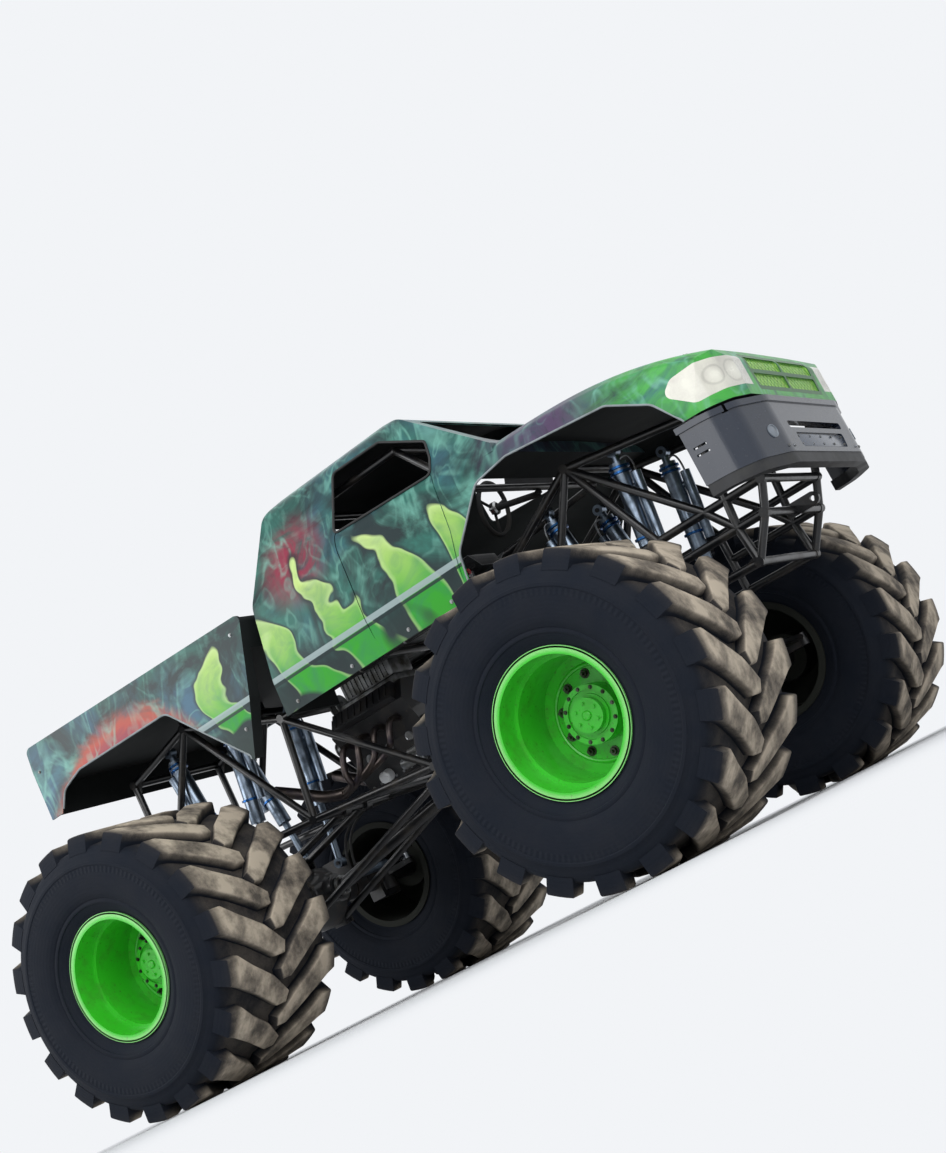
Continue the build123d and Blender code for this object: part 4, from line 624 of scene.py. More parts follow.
    flame = add_node(tree, "Mix", {0: fill, 6: settings.lime, 7: settings.lemon}, data_type="RGBA")
    mottle = add_node(tree, "MapRange", {"Value": cloud, 1: 0.42, 2: 0.78, 3: 0.0, 4: 0.6})
    flame = add_node(tree, "Mix", {0: mottle, 6: flame, 7: haze}, data_type="RGBA")
    heart = add_node(tree, "MapRange", {"Value": inside, 1: 0.5, 2: 1.1, 3: 0.0, 4: 0.6})
    heart = add_node(tree, "Math", {0: heart, 1: fill}, operation="MULTIPLY")
    flame = add_node(tree, "Mix", {0: heart, 6: flame, 7: settings.lemon}, data_type="RGBA")
    edge = add_node(tree, "MapRange", {"Value": inside, 1: 0.3, 2: 0.0, 3: 0.0, 4: 0.45})
    flame = add_node(tree, "Mix", {0: edge, 6: flame, 7: "#CFE6A6"}, data_type="RGBA")
    shade = add_node(tree, "MapRange", {"Value": inside, 1: -0.5, 2: -0.06, 3: 0.0, 4: 0.8},
                     interpolation_type="SMOOTHSTEP")
    shade = add_node(tree, "Math", {0: shade, 1: zone}, operation="MULTIPLY")
    painted = add_node(tree, "Mix", {0: shade, 6: painted, 7: settings.night}, data_type="RGBA")
    # the sills fade to night
    sill = add_node(tree, "Math", {0: drift, 1: 0.5, 2: z}, operation="MULTIPLY_ADD")
    sill = add_node(tree, "MapRange", {"Value": sill, 1: settings.stripe_z + 0.12,
                                       2: settings.stripe_z + 0.34, 3: 0.9, 4: 0.0})
    sill = add_node(tree, "Math", {0: sill, 1: behind}, operation="MULTIPLY")
    painted = add_node(tree, "Mix", {0: sill, 6: painted, 7: settings.night}, data_type="RGBA")
    body = add_node(tree, "MapRange", {"Value": inside, 1: -0.07, 2: 0.05})
    body = add_node(tree, "Math", {0: body, 1: zone}, operation="MULTIPLY")
    painted = add_node(tree, "Mix", {0: body, 6: painted, 7: flame}, data_type="RGBA")

    # coach line: a pale band with a dark one under it
    for level, half, colour in ((0.0, 0.016, settings.stripe), (-0.03, 0.008, settings.night)):
        off = add_node(tree, "Math", {0: z, 1: settings.stripe_z + level}, operation="SUBTRACT")
        off = add_node(tree, "Math", {0: off}, operation="ABSOLUTE")
        line = add_node(tree, "MapRange", {"Value": off, 1: half, 2: half + 0.003, 3: 0.9, 4: 0.0})
        line = add_node(tree, "Math", {0: line, 1: on_side}, operation="MULTIPLY")
        line = add_node(tree, "Math", {0: line, 1: behind}, operation="MULTIPLY")
        painted = add_node(tree, "Mix", {0: line, 6: painted, 7: colour}, data_type="RGBA")

    # dust on the lowest edges, and the bare glass fibre of every inner face and underside
    low = add_node(tree, "MapRange", {"Value": z, 1: AXLE_Z + 0.85, 2: AXLE_Z + 1.15, 3: 0.2, 4: 0.03})
    film = add_node(tree, "Math", {0: low, 1: smoke}, operation="MULTIPLY")
    painted = add_node(tree, "Mix", {0: film, 6: painted, 7: "#6F675B"}, data_type="RGBA")
    out = add_node(tree, "VectorMath", {0: place, 1: (0.3, 0, AXLE_Z + 1.58)}, operation="SUBTRACT")
    outward = add_node(tree, "VectorMath", {0: out, 1: facing}, operation="DOT_PRODUCT").node.outputs["Value"]
    inner = add_node(tree, "MapRange", {"Value": outward, 1: -0.02, 2: 0.02, 3: 1.0, 4: 0.0})
    under = add_node(tree, "MapRange", {"Value": to_sky, 1: -0.3, 2: -0.45})
    bare = add_node(tree, "Math", {0: inner, 1: under}, operation="MAXIMUM")
    strand = add_node(tree, "Mix", {0: smoke, 6: "#101314", 7: "#2B2E2E"}, data_type="RGBA")
    painted = add_node(tree, "Mix", {0: bare, 6: painted, 7: strand}, data_type="RGBA")
    matt = add_node(tree, "Math", {0: film, 1: bare}, operation="MAXIMUM")
    rough = add_node(tree, "MapRange", {"Value": matt, 3: 0.38, 4: 0.8})
    coat = add_node(tree, "MapRange", {"Value": bare, 3: 0.2, 4: 0.0})
    return finished(material, Base_Color=painted, Roughness=rough, Coat_Weight=coat, Normal=lacquer_skin(tree, place))


def grille_paint():
    """Lacquered glass fibre: leaf green bars round paler lime pockets, which lie under a satin clear coat."""
    material, tree, place = new_finish("lacquered grille", Roughness=0.4, Coat_Weight=0.1)
    x, _, z = add_node(tree, "SeparateXYZ", {0: place}).node.outputs
    fold = add_node(tree, "Math", {0: z, 1: GRILLE_FOLD_Z}, operation="SUBTRACT")
    fold = add_node(tree, "Math", {0: fold, 1: 0.0}, operation="MAXIMUM")
    face = add_node(tree, "Math", {0: fold, 1: 0.55, 2: x}, operation="MULTIPLY_ADD")
    sunk = add_node(tree, "MapRange", {"Value": face, 1: NOSE_X - 11 * MM, 2: NOSE_X - 5 * MM, 3: 1.0, 4: 0.0})
    smear = add_node(tree, "TexNoise", {"Vector": place, "Scale": 7.0, "Detail": 6.0, "Distortion": 1.0})
    bars = add_node(tree, "Mix", {0: smear, 6: "#123A1C", 7: "#2E7A35"}, data_type="RGBA")
    pocket = add_node(tree, "Mix", {0: smear, 6: "#7CCB52", 7: "#C4E878"}, data_type="RGBA")
    tone = add_node(tree, "Mix", {0: sunk, 6: bars, 7: pocket}, data_type="RGBA")
    return finished(material, Base_Color=tone, Normal=lacquer_skin(tree, place))


def lamp_cover():
    """Printed polycarbonate lamp cover: glossy cream, two drawn lenses a side, each with a painted highlight."""
    material, tree, place = new_finish("printed polycarbonate", Coat_Weight=0.6)
    _, y, z = add_node(tree, "SeparateXYZ", {0: place}).node.outputs
    y = add_node(tree, "Math", {0: y}, operation="ABSOLUTE")
    folded = add_node(tree, "CombineXYZ", {0: 0.0, 1: y, 2: z})
    smear = add_node(tree, "TexNoise", {"Vector": place, "Scale": 11.0, "Detail": 6.0})
    share = add_node(tree, "MapRange", {"Value": smear, 1: 0.4, 2: 0.7})
    tone = add_node(tree, "Mix", {0: share, 6: "#DEDDD0", 7: "#C9C6BC"}, data_type="RGBA")
    for lens_y, radius in ((0.71, 0.062), (0.845, 0.05)):
        off = add_node(tree, "VectorMath", {0: folded, 1: (0.0, lens_y, AXLE_Z + 1.26)}, operation="SUBTRACT")
        far = add_node(tree, "VectorMath", {0: off}, operation="LENGTH").node.outputs["Value"]
        # painted highlight: each drawn lens turns paler towards its middle
        glass = add_node(tree, "MapRange", {"Value": far, 1: 0.0, 2: radius, 3: 0.9, 4: 0.0})
        tone = add_node(tree, "Mix", {0: glass, 6: tone, 7: "#F4F3E6"}, data_type="RGBA")
        off = add_node(tree, "Math", {0: far, 1: radius}, operation="SUBTRACT")
        off = add_node(tree, "Math", {0: off}, operation="ABSOLUTE")
        ring = add_node(tree, "MapRange", {"Value": off, 1: 0.003, 2: 0.009, 3: 0.2, 4: 0.0})
        tone = add_node(tree, "Mix", {0: ring, 6: tone, 7: "#5B5F58"}, data_type="RGBA")
    rough = add_node(tree, "MapRange", {"Value": share, 3: 0.2, 4: 0.4})
    bump = add_node(tree, "Bump", {"Height": smear, "Strength": 0.15, "Distance": 0.002})
    return finished(material, Base_Color=tone, Roughness=rough, Normal=bump)


# Every plain finish: its maker, colour, stain or dirt, and roughness, then what more the maker takes. Each is
# named for the real material, and its comment says what that gives the eye.
FINISHES = {
    # rims
    "zinc plated nut": (worn_metal, "#565B50", "#35362C", 0.4),  # dull olive steel, oily in its corners
    "valve rubber": (moulded_plastic, "#17181A", "#3A3630", 0.6),  # matt black, grey with dust
    # body
    "gunmetal enamel": (powder_coat, "#1B2433", "#4A4A48", 0.24, 0.12),  # blue-black with broad soft glints
    "slate enamel": (powder_coat, "#3C4759", "#55585C", 0.24, 0.3),  # lighter blue-grey, with some spatter
    "black moulded valance": (moulded_plastic, "#101216", "#3A3A38", 0.5),  # satin black, scuffed grey
    "red acrylic lens": (moulded_plastic, "#7A1014", "#4A0C0F", 0.15, 8.0),  # deep glossy red
    "amber and red lens rib": (moulded_plastic, "#8C1A14", "#5A0F10", 0.12, 8.0),  # brighter red lines
    "frosted lamp lens": (moulded_plastic, "#7E868F", "#5B636B", 0.12, 9.0),  # milky grey glass
    "checkered aluminium floor": (worn_metal, "#7C7F82", "#4A4844", 0.45),  # grey sheet, dark where trodden
    "grey edge trim": (moulded_plastic, "#8E979B", "#5F645F", 0.5),  # pale line round the arches
    "window seal rubber": (moulded_plastic, "#0F1113", "#2C2C2A", 0.55),  # black line round the glassless sides
    "green wire mesh": (moulded_plastic, "#3F8A3A", "#2C5A38", 0.5),  # leaf green plastic-coated wire
    "button head screw": (worn_metal, "#8C8F93", "#5B5850", 0.4),  # small grey dots
    "stainless hood pin": (worn_metal, "#C4C6C8", "#8B8A84", 0.22),  # clean bright pins
    "zinc plated body bolt": (worn_metal, "#9FA2A4", "#66625A", 0.38),  # pale dots along the sills
    "ribbed rubber mat": (moulded_plastic, "#191B1C", "#4A453D", 0.7),  # matt black, dusty on its ribs
    # chassis
    "black powder coat": (powder_coat, "#0E0F12", "#4B443A", 0.34),  # near black tubes with long soft glints
    "cast steel enamel": (powder_coat, "#17181B", "#574C3E", 0.5),  # duller black, browner with earth
    "anodised aluminium shock": (worn_metal, "#8794A3", "#56616D", 0.28),  # cool blue-grey satin tubes
    "hard chromed rod": (worn_metal, "#C9CCD0", "#9DA2A8", 0.12),  # mirror wiped clean by its seal
    "black oxide bolt": (worn_metal, "#55565A", "#6A6152", 0.45),  # dark heads with earth on them
    "hydraulic hose rubber": (moulded_plastic, "#121315", "#34302B", 0.55),  # satin black hose
    "plated brake line": (worn_metal, "#8E8C84", "#6B6455", 0.35),  # thin warm glint
    "split loom": (moulded_plastic, "#0D0E10", "#2E2C29", 0.6),  # matt black tube
    "stainless clamp": (worn_metal, "#A7A9AB", "#77746A", 0.3),  # bright narrow bands on the tubes
    "blue anodised ring": (worn_metal, "#2F5F9A", "#23425F", 0.25),  # saturated blue metal
    "braided steel hose": (worn_metal, "#8A8D90", "#55534C", 0.4),  # grey metal sleeve
    # engine
    "engine block enamel": (powder_coat, "#1B1C1F", "#4A4238", 0.5),  # sooty black
    "cast aluminium": (worn_metal, "#8D8F90", "#5A574F", 0.5),  # dull silver, brown in its hollows
    "cast aluminium case": (worn_metal, "#77797B", "#56544F", 0.5),  # darker silver, oily
    "wrinkle black cover": (powder_coat, "#1E1F22", "#3D362C", 0.45),  # dull black covers
    "blued stainless header": (worn_metal, "#5E5652", "#38343E", 0.38),  # heat-browned pipes going to blue
    "belt rubber": (moulded_plastic, "#101113", "#2A2927", 0.7),  # matt black band
    "zinc plated fitting": (worn_metal, "#B4B8BC", "#77746C", 0.3),  # bright plugs and starter
    "zinc plated case bolt": (worn_metal, "#A9ACAE", "#77736A", 0.35),  # bright bolt heads
    "white filter enamel": (powder_coat, "#C9CCCE", "#57503F", 0.3),  # white cans with spots of oil
    # cockpit
    "woven black seat cloth": (woven_cloth, "#2B2D31", "#141518"),  # soft black without gloss
    "red harness webbing": (woven_cloth, "#A51D1B", "#6D1212", 4.0),  # coarser red weave
    "aluminium seat shell": (worn_metal, "#8D9093", "#5F6060", 0.4),  # brushed grey sheet
    "chromed buckle": (worn_metal, "#C7C9CB", "#8C8A84", 0.2),  # small mirror
    "suede rim": (moulded_plastic, "#18191B", "#38342F", 0.9),  # black nap worn grey
    "crackle black panel": (moulded_plastic, "#15161A", "#2F2E2B", 0.6),  # rough black paint
    "polished bezel": (worn_metal, "#C9CBCD", "#92938F", 0.18),  # bright thin rings
    "white dial face": (moulded_plastic, "#DADCDC", "#A7A9A8", 0.4),  # plain white discs
}


def made_of(name):
    """Material of one of the plain finishes."""
    maker, *looks = FINISHES[name]
    return maker(name, *looks)


class TRUCK_OT_tyres(bpy.types.Operator):
    """Tyres with two staggered rows of bars, worn round at their edges"""

    bl_idname = "truck.tyres"
    bl_label = "Tyres"

    def execute(self, context):
        settings = context.scene.truck_tyre
        for corner in CORNERS:
            centre = middle(f"rim_{corner}")
            wall = dusty_rubber(f"tyre wall {corner}", centre, settings, TYRE_R - 90 * MM, TYRE_R + 40 * MM)
            tread = dusty_rubber(f"tread rubber {corner}", centre, settings, TYRE_R - 55 * MM, TYRE_R - 6 * MM)
            builder = bmesh.new()
            spun(builder, self.carcass_profile(), centre, (0, 1, 0), 96)
            wall_faces = set(builder.faces)
            for row in SIDES:
                self.add_bars(builder, settings, centre, row)
            for face in builder.faces:
                face.material_index = 0 if face in wall_faces else 1
            bmesh.ops.recalc_face_normals(builder, faces=builder.faces)
            tyre = place_mesh(f"tread_tyre_{corner}", builder, (wall, tread), f"wheel_{corner}", smooth=40)
            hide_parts(f"tyre_{corner}")
        return {"FINISHED"}

    def carcass_profile(self):
        """Closed section of the carcass, as distance from the middle and radius, from bead to bead."""
        half = [(0.4, 0.348), (0.45, 0.348), (0.455, 0.38), (0.47, 0.4), (0.485, 0.416), (0.494, 0.436),
                (0.501, 0.438), (0.505, 0.45), (0.501, 0.462), (0.508, 0.468), (0.52, 0.51), (0.527, 0.56),
                (0.529, 0.61), (0.526, 0.655), (0.53, 0.66), (0.528, 0.676), (0.522, 0.68), (0.512, 0.712),
                (0.494, 0.742), (0.468, 0.761), (0.4, 0.77), (0.25, 0.774), (0.0, 0.776)]
        return half + [(-y, r) for y, r in reversed(half[:-1])]

    def add_bars(self, builder, settings, centre, row):
        """One row of bars, made flat along the tread, bent round the tyre and copied."""
        facet = math.tan(math.pi / (2 * settings.lugs)) * TYRE_R
        outline = [(-facet, 0.48), (facet, 0.48), (1.35 * facet, 0.41), (2.5 * facet, 0.25), (4.1 * facet, 0.06),
                   (4.1 * facet, -0.02), (3.2 * facet, -0.04), (1.5 * facet, 0.1), (0.1 * facet, 0.27),
                   (-facet, 0.38)]
        bar = bmesh.new()
        top = bar.faces.new([bar.verts.new((s, row * y, 0)) for s, y in outline])
        # the foot is wider than the top, sinks into the carcass and leans out over the shoulder
        foot = new_verts(bmesh.ops.extrude_face_region(bar, geom=[top]))
        bmesh.ops.scale(bar, verts=foot, vec=(1.1, 1.03, 1), space=Matrix.Translation((-facet, row * -0.2, 0)))
        bmesh.ops.translate(bar, verts=foot, vec=(0, 0, -settings.lug_depth - 20 * MM))
        shoulder = [vert for vert in foot if abs(vert.co.y) > 0.45]
        bmesh.ops.translate(bar, verts=shoulder, vec=(0, row * 14 * MM, -20 * MM))
        worn = [edge for edge in bar.edges if all(vert not in foot for vert in edge.verts)]
        round_off(bar, worn, settings.wear, 3)
        # cuts across the flat bar, so that it can follow the tyre's curve
        for step in range(1, 10):
            cut(bar, (facet * (step * 0.6 - 1), 0, 0), (1, 0, 0))
        start = math.pi if row > 0 else math.pi * (1 + 1 / settings.lugs)
        for vert in bar.verts:
            angle = start + vert.co.x / TYRE_R
            radius = TYRE_R + vert.co.z
            vert.co = centre + Vector((radius * math.sin(angle), vert.co.y, radius * math.cos(angle)))
        known = set(builder.faces)
        absorb(builder, bar)
        faces = [face for face in builder.faces if face not in known]
        geom = list({vert for face in faces for vert in face.verts}) \
            + list({edge for face in faces for edge in face.edges}) + faces
        bmesh.ops.spin(builder, geom=geom, cent=centre, axis=(0, 1, 0), dvec=(0, 0, 0), use_duplicate=True,
                       angle=2 * math.pi * (settings.lugs - 1) / settings.lugs, steps=settings.lugs - 1)


class TRUCK_OT_rims(bpy.types.Operator):
    """Coat, wheel nuts, hub bolts and valves of the rims"""

    bl_idname = "truck.rims"
    bl_label = "Rims"

    def execute(self, context):
        settings = context.scene.truck_rim
        steel, rubber = made_of("zinc plated nut"), made_of("valve rubber")
        hub_circle, cap_circle = 137 * MM, 62 * MM
        for corner in CORNERS:
            side = 1 if corner.endswith("left") else -1
            low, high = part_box(f"rim_{corner}")
            centre = middle(f"rim_{corner}")
            outward = Vector((0, side, 0))
            # lime coat with a pale painted highlight on the outer flange, beyond 0.35 m from the axle, and near black
            # on its inner side
            lime = powder_coat(f"lime powder coat {corner}", settings.coat, "#4F5A34", 0.3, centre=centre,
                               black_side=-side, highlight_radius=0.35)
            dress(f"rim_{corner}", lime)
            levels = [surface_point([f"rim_{corner}"], (centre.x + radius, side * 3, AXLE_Z), -outward)[0].y
                      for radius in (settings.stud_circle, hub_circle, cap_circle - 2 * MM)]
            on_disc, on_hub, on_cap = (Vector((centre.x, face, centre.z)) for face in levels)
            builder = bmesh.new()
            studs = ring_places(on_disc, outward, settings.stud_circle, settings.studs, 0.2)
            hex_heads(builder, studs, outward, 0.034, 0.022)
            for place in studs:
                peg(builder, place + outward * 30 * MM, outward, 9 * MM, 8 * MM, 30 * MM, 10)
            hex_heads(builder, ring_places(on_hub, outward, hub_circle, 12), outward, 0.015, 0.008)
            place_mesh(f"wheel_nuts_{corner}", builder, steel, f"wheel_{corner}", smooth=30)
            builder = bmesh.new()
            hex_heads(builder, ring_places(on_cap, outward, cap_circle, 6, 0.4), outward, 0.016, 0.009)
            spun(builder, [(0, 0.0), (0.012, 0.0), (0.012, 0.018), (0.008, 0.024), (0, 0.026)], on_cap, outward,
                 24, closed=False)
            # web of the disc, a raised ring on it and the rolled edge of the outer flange
            spun(builder, [(0, 0.235), (0.007, 0.238), (0.01, 0.246), (0.007, 0.254), (0, 0.257)], on_disc, outward,
                 72)
            rim_face = Vector((centre.x, high.y if side > 0 else low.y, centre.z))
            spun(builder, [(-0.012, 0.36), (0, 0.362), (0, 0.371), (-0.012, 0.3745)], rim_face, outward, 96)
            place_mesh(f"hub_trim_{corner}", builder, lime, f"wheel_{corner}", smooth=30)
            self.add_valve(corner, on_disc, outward, rubber)
        return {"FINISHED"}

    def add_valve(self, corner, on_disc, outward, rubber):
        """Rubber valve with its cap, standing on the disc."""
        foot = on_disc + Vector((0, 0, -0.3))
        builder = bmesh.new()
        spun(builder, [(0, 0.011), (0.012, 0.01), (0.02, 0.006), (0.05, 0.005), (0.052, 0.0065), (0.07, 0.0065),
                       (0.072, 0.0)], foot, outward, 12, closed=False)
        place_mesh(f"valve_{corner}", builder, rubber, f"wheel_{corner}")


class TRUCK_OT_body(bpy.types.Operator):
    """Painted panels with their edge trims, grille mesh, lamps and pins"""

    bl_idname = "truck.body"
    bl_label = "Body"

    def execute(self, context):
        paint = airbrushed_paint(context.scene.truck_paint)
        for node in ("cab_shell", "front_clip", "hood", "bed_shell"):
            dress(node, paint)
        dress("grille", grille_paint())
        dress("bumper", made_of("gunmetal enamel"))
        dress("valance", made_of("black moulded valance"))
        dress("headlamps", lamp_cover())
        dress("tail_lamps", made_of("red acrylic lens"))
        dress("cab_floor", made_of("checkered aluminium floor"))
        self.add_edges(made_of("grey edge trim"))
        self.add_grille_mesh(made_of("green wire mesh"))
        self.add_bumper_parts()
        self.add_hood_pins()
        self.add_sill_bolts()
        self.add_tail()
        self.add_bed_liner()
        return {"FINISHED"}

    def add_edges(self, trim):
        """Beads along the wheel arches and round the side windows."""
        arches, windows = [], []
        for side in SIDES:
            for outline, nodes, centre_x in ((FRONT_ARCH, ("cab_shell", "front_clip"), FRONT_X),
                                             (REAR_ARCH, ("bed_shell",), REAR_X)):
                middle_point = Vector((centre_x, AXLE_Z + 0.9))
                arches.append(self.on_side(rounded(outline, 0.1), nodes, middle_point, side))
            centre = sum((Vector(point) for point in SIDE_WINDOW), Vector((0, 0))) / len(SIDE_WINDOW)
            windows.append(self.on_side(rounded(SIDE_WINDOW, 0.04, closed=True), ("cab_shell",), centre, side))
        tubes("arch_beads", arches, 6 * MM, trim, kind="POLY")
        seal = made_of("window seal rubber")
        tubes("window_seals", windows, 8 * MM, seal, kind="POLY", closed=True)

    def on_side(self, outline, nodes, centre, side):
        """Outline of (x, z) points laid on the outside of the body, found a little away from the opening."""
        line = []
        for point in outline:
            beside = point + (point - centre).normalized() * 14 * MM
            hit = first_hit(nodes, (beside.x, side * 1.5, beside.y), (0, -side, 0))
            # a hit nearer to the middle is on the far side, seen through an opening
            if hit and abs(hit[0].y) > 0.6:
                line.append((point.x, hit[0].y, point.y))
        return line

    def add_grille_mesh(self, wire):
        """Diamond wire mesh in each of the four sunk panels, which lean back above the fold."""
        builder = bmesh.new()
        low, high = AXLE_Z + 1.171, AXLE_Z + 1.353
        mid, half_bar, slope = (low + high) / 2, 12 * MM, 50 / 90
        for side in SIDES:
            for z_low, z_high, reach in ((low, mid - half_bar, 0.46), (mid + half_bar, high, 0.47)):
                panel = bmesh.new()
                bmesh.ops.create_grid(panel, x_segments=20, y_segments=20, size=0.36,
                                      matrix=Matrix.Rotation(math.pi / 4, 4, "Z"))
                centre = Vector((side * (half_bar + reach) / 2, (z_low + z_high) / 2, 0))
                for vert in panel.verts:
                    vert.co += centre
                inner, outer = sorted((side * (half_bar + 2 * MM), side * reach))
                for place, normal in (((inner, 0, 0), (-1, 0, 0)), ((outer, 0, 0), (1, 0, 0)),
                                      ((0, z_low + 2 * MM, 0), (0, -1, 0)), ((0, z_high - 2 * MM, 0), (0, 1, 0))):
                    cut(panel, place, normal, clear=True)
                bmesh.ops.wireframe(panel, faces=panel.faces, thickness=1.8 * MM, use_replace=True,
                                    use_boundary=True, use_even_offset=True)
                for vert in panel.verts:
                    across, up, out = vert.co
                    lean = max(0.0, up - GRILLE_FOLD_Z) * slope
                    vert.co = (NOSE_X - 10 * MM - lean + out, across, up)
                absorb(builder, panel)
        bmesh.ops.recalc_face_normals(builder, faces=builder.faces)
        place_mesh("grille_mesh", builder, wire, smooth=30)

    def add_bumper_parts(self):
        """Sunk centre panel with its screws, and a lens in each round lamp recess."""
        low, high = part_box("bumper")
        face_x, foot, ahead = high.x - 10 * MM, low.z, high.x + 0.5
        builder = bmesh.new()
        outline = [(face_x - 9 * MM, y, foot + z)
                   for y, z in ((-0.365, 0.035), (0.365, 0.035), (0.372, 0.109), (-0.372, 0.109))]
        plate(builder, outline, 5 * MM, 2 * MM)
        place_mesh("bumper_panel", builder, made_of("slate enamel"))
        builder = bmesh.new()
        for y in (-0.34, -0.17, 0.0, 0.17, 0.34):
            hex_heads(builder, [(face_x - 7 * MM, y, foot + z) for z in (0.05, 0.095)], (1, 0, 0), 11 * MM, 5 * MM)
        for side in SIDES:
            for y in (0.5, 0.57):
                place, normal = surface_point(["bumper"], (ahead, side * y, foot + 0.035), (-1, 0, 0))
                hex_heads(builder, [place], normal, 0.013, 0.006)
        place_mesh("bumper_screws", builder, made_of("button head screw"))
        builder = bmesh.new()
        for side in SIDES:
            place, normal = surface_point(["bumper"], (ahead, side * 0.64, foot + 0.13), (-1, 0, 0))
            spun(builder, [(-0.004, 0.0), (0.006, 0.0), (0.004, 0.024), (0.002, 0.03), (0.006, 0.032),
                           (0.006, 0.037), (-0.004, 0.038)], place, normal, 40, closed=False)
        place_mesh("fog_lenses", builder, made_of("frosted lamp lens"))

    def add_hood_pins(self):
        """Four hood pins with scuff plates, one near each corner of the hood."""
        builder = bmesh.new()
        for side in SIDES:
            for x, y in ((FRONT_X + 1.0, 0.6), (FRONT_X + 0.02, 0.66)):
                place, normal = surface_point(["hood"], (x, side * y, 3.5), (0, 0, -1))
                spun(builder, [(0, 0.0), (0.003, 0.0), (0.003, 0.026), (0, 0.03)], place, normal, 24, closed=False)
                peg(builder, place + normal * 14 * MM, normal, 7 * MM, 6 * MM, 28 * MM, 12)
                peg(builder, place + normal * 18 * MM, (0, side, 0.1), 2.2 * MM, 2.2 * MM, 75 * MM, 8)
        place_mesh("hood_pins", builder, made_of("stainless hood pin"), smooth=30)

    def add_sill_bolts(self):
        """Body mount bolts on the sides of the cab and the bed."""
        builder = bmesh.new()
        for side in SIDES:
            for node, places in (
                ("cab_shell", [(FRONT_X - d, AXLE_Z + 0.975) for d in (1.95, 1.5, 1.05, 0.72)]),
                ("bed_shell", [(REAR_X + d, AXLE_Z + z) for d, z in ((0.92, 1.0), (1.08, 1.55), (-0.8, 1.52))]),
            ):
                for x, z in places:
                    place, normal = surface_point([node], (x, side * 1.5, z), (0, -side, 0))
                    hex_heads(builder, [place], normal, 0.016, 0.007)
        place_mesh("body_bolts", builder, made_of("zinc plated body bolt"), smooth=30)

    def add_tail(self):
        """Ribbed faces of the tail lamps."""
        low, pitch, rib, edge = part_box("tail_lamps")[0], 16.5 * MM, 9 * MM, 4 * MM
        builder = bmesh.new()
        for side in SIDES:
            inner, outer = sorted((side * 0.82, side * 0.92))
            for step in range(5):
                z = low.z + 12 * MM + step * pitch
                block(builder, (low.x + 0.5 * MM, inner + edge, z), (low.x + 5 * MM, outer - edge, z + rib), 2 * MM)
        place_mesh("lens_ribs", builder, made_of("amber and red lens rib"))

    def add_bed_liner(self):
        """Ribbed mat that lies on the bed's floor."""
        low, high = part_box("bed_shell")
        floor, _ = surface_point(["bed_shell"], (REAR_X, 0, high.z + 0.5), (0, 0, -1))
        builder = bmesh.new()
        half_width, mat_top, rib_top, pitch = 0.86, floor.z + 6 * MM, floor.z + 14 * MM, 82 * MM
        block(builder, (low.x + 0.1, -half_width, floor.z), (high.x - 0.1, half_width, mat_top), 2 * MM)
        for i in range(-10, 11):
            y = pitch * i
            block(builder, (low.x + 0.13, y - 18 * MM, mat_top), (high.x - 0.13, y + 18 * MM, rib_top), 4 * MM)
        place_mesh("bed_mat", builder, made_of("ribbed rubber mat"))


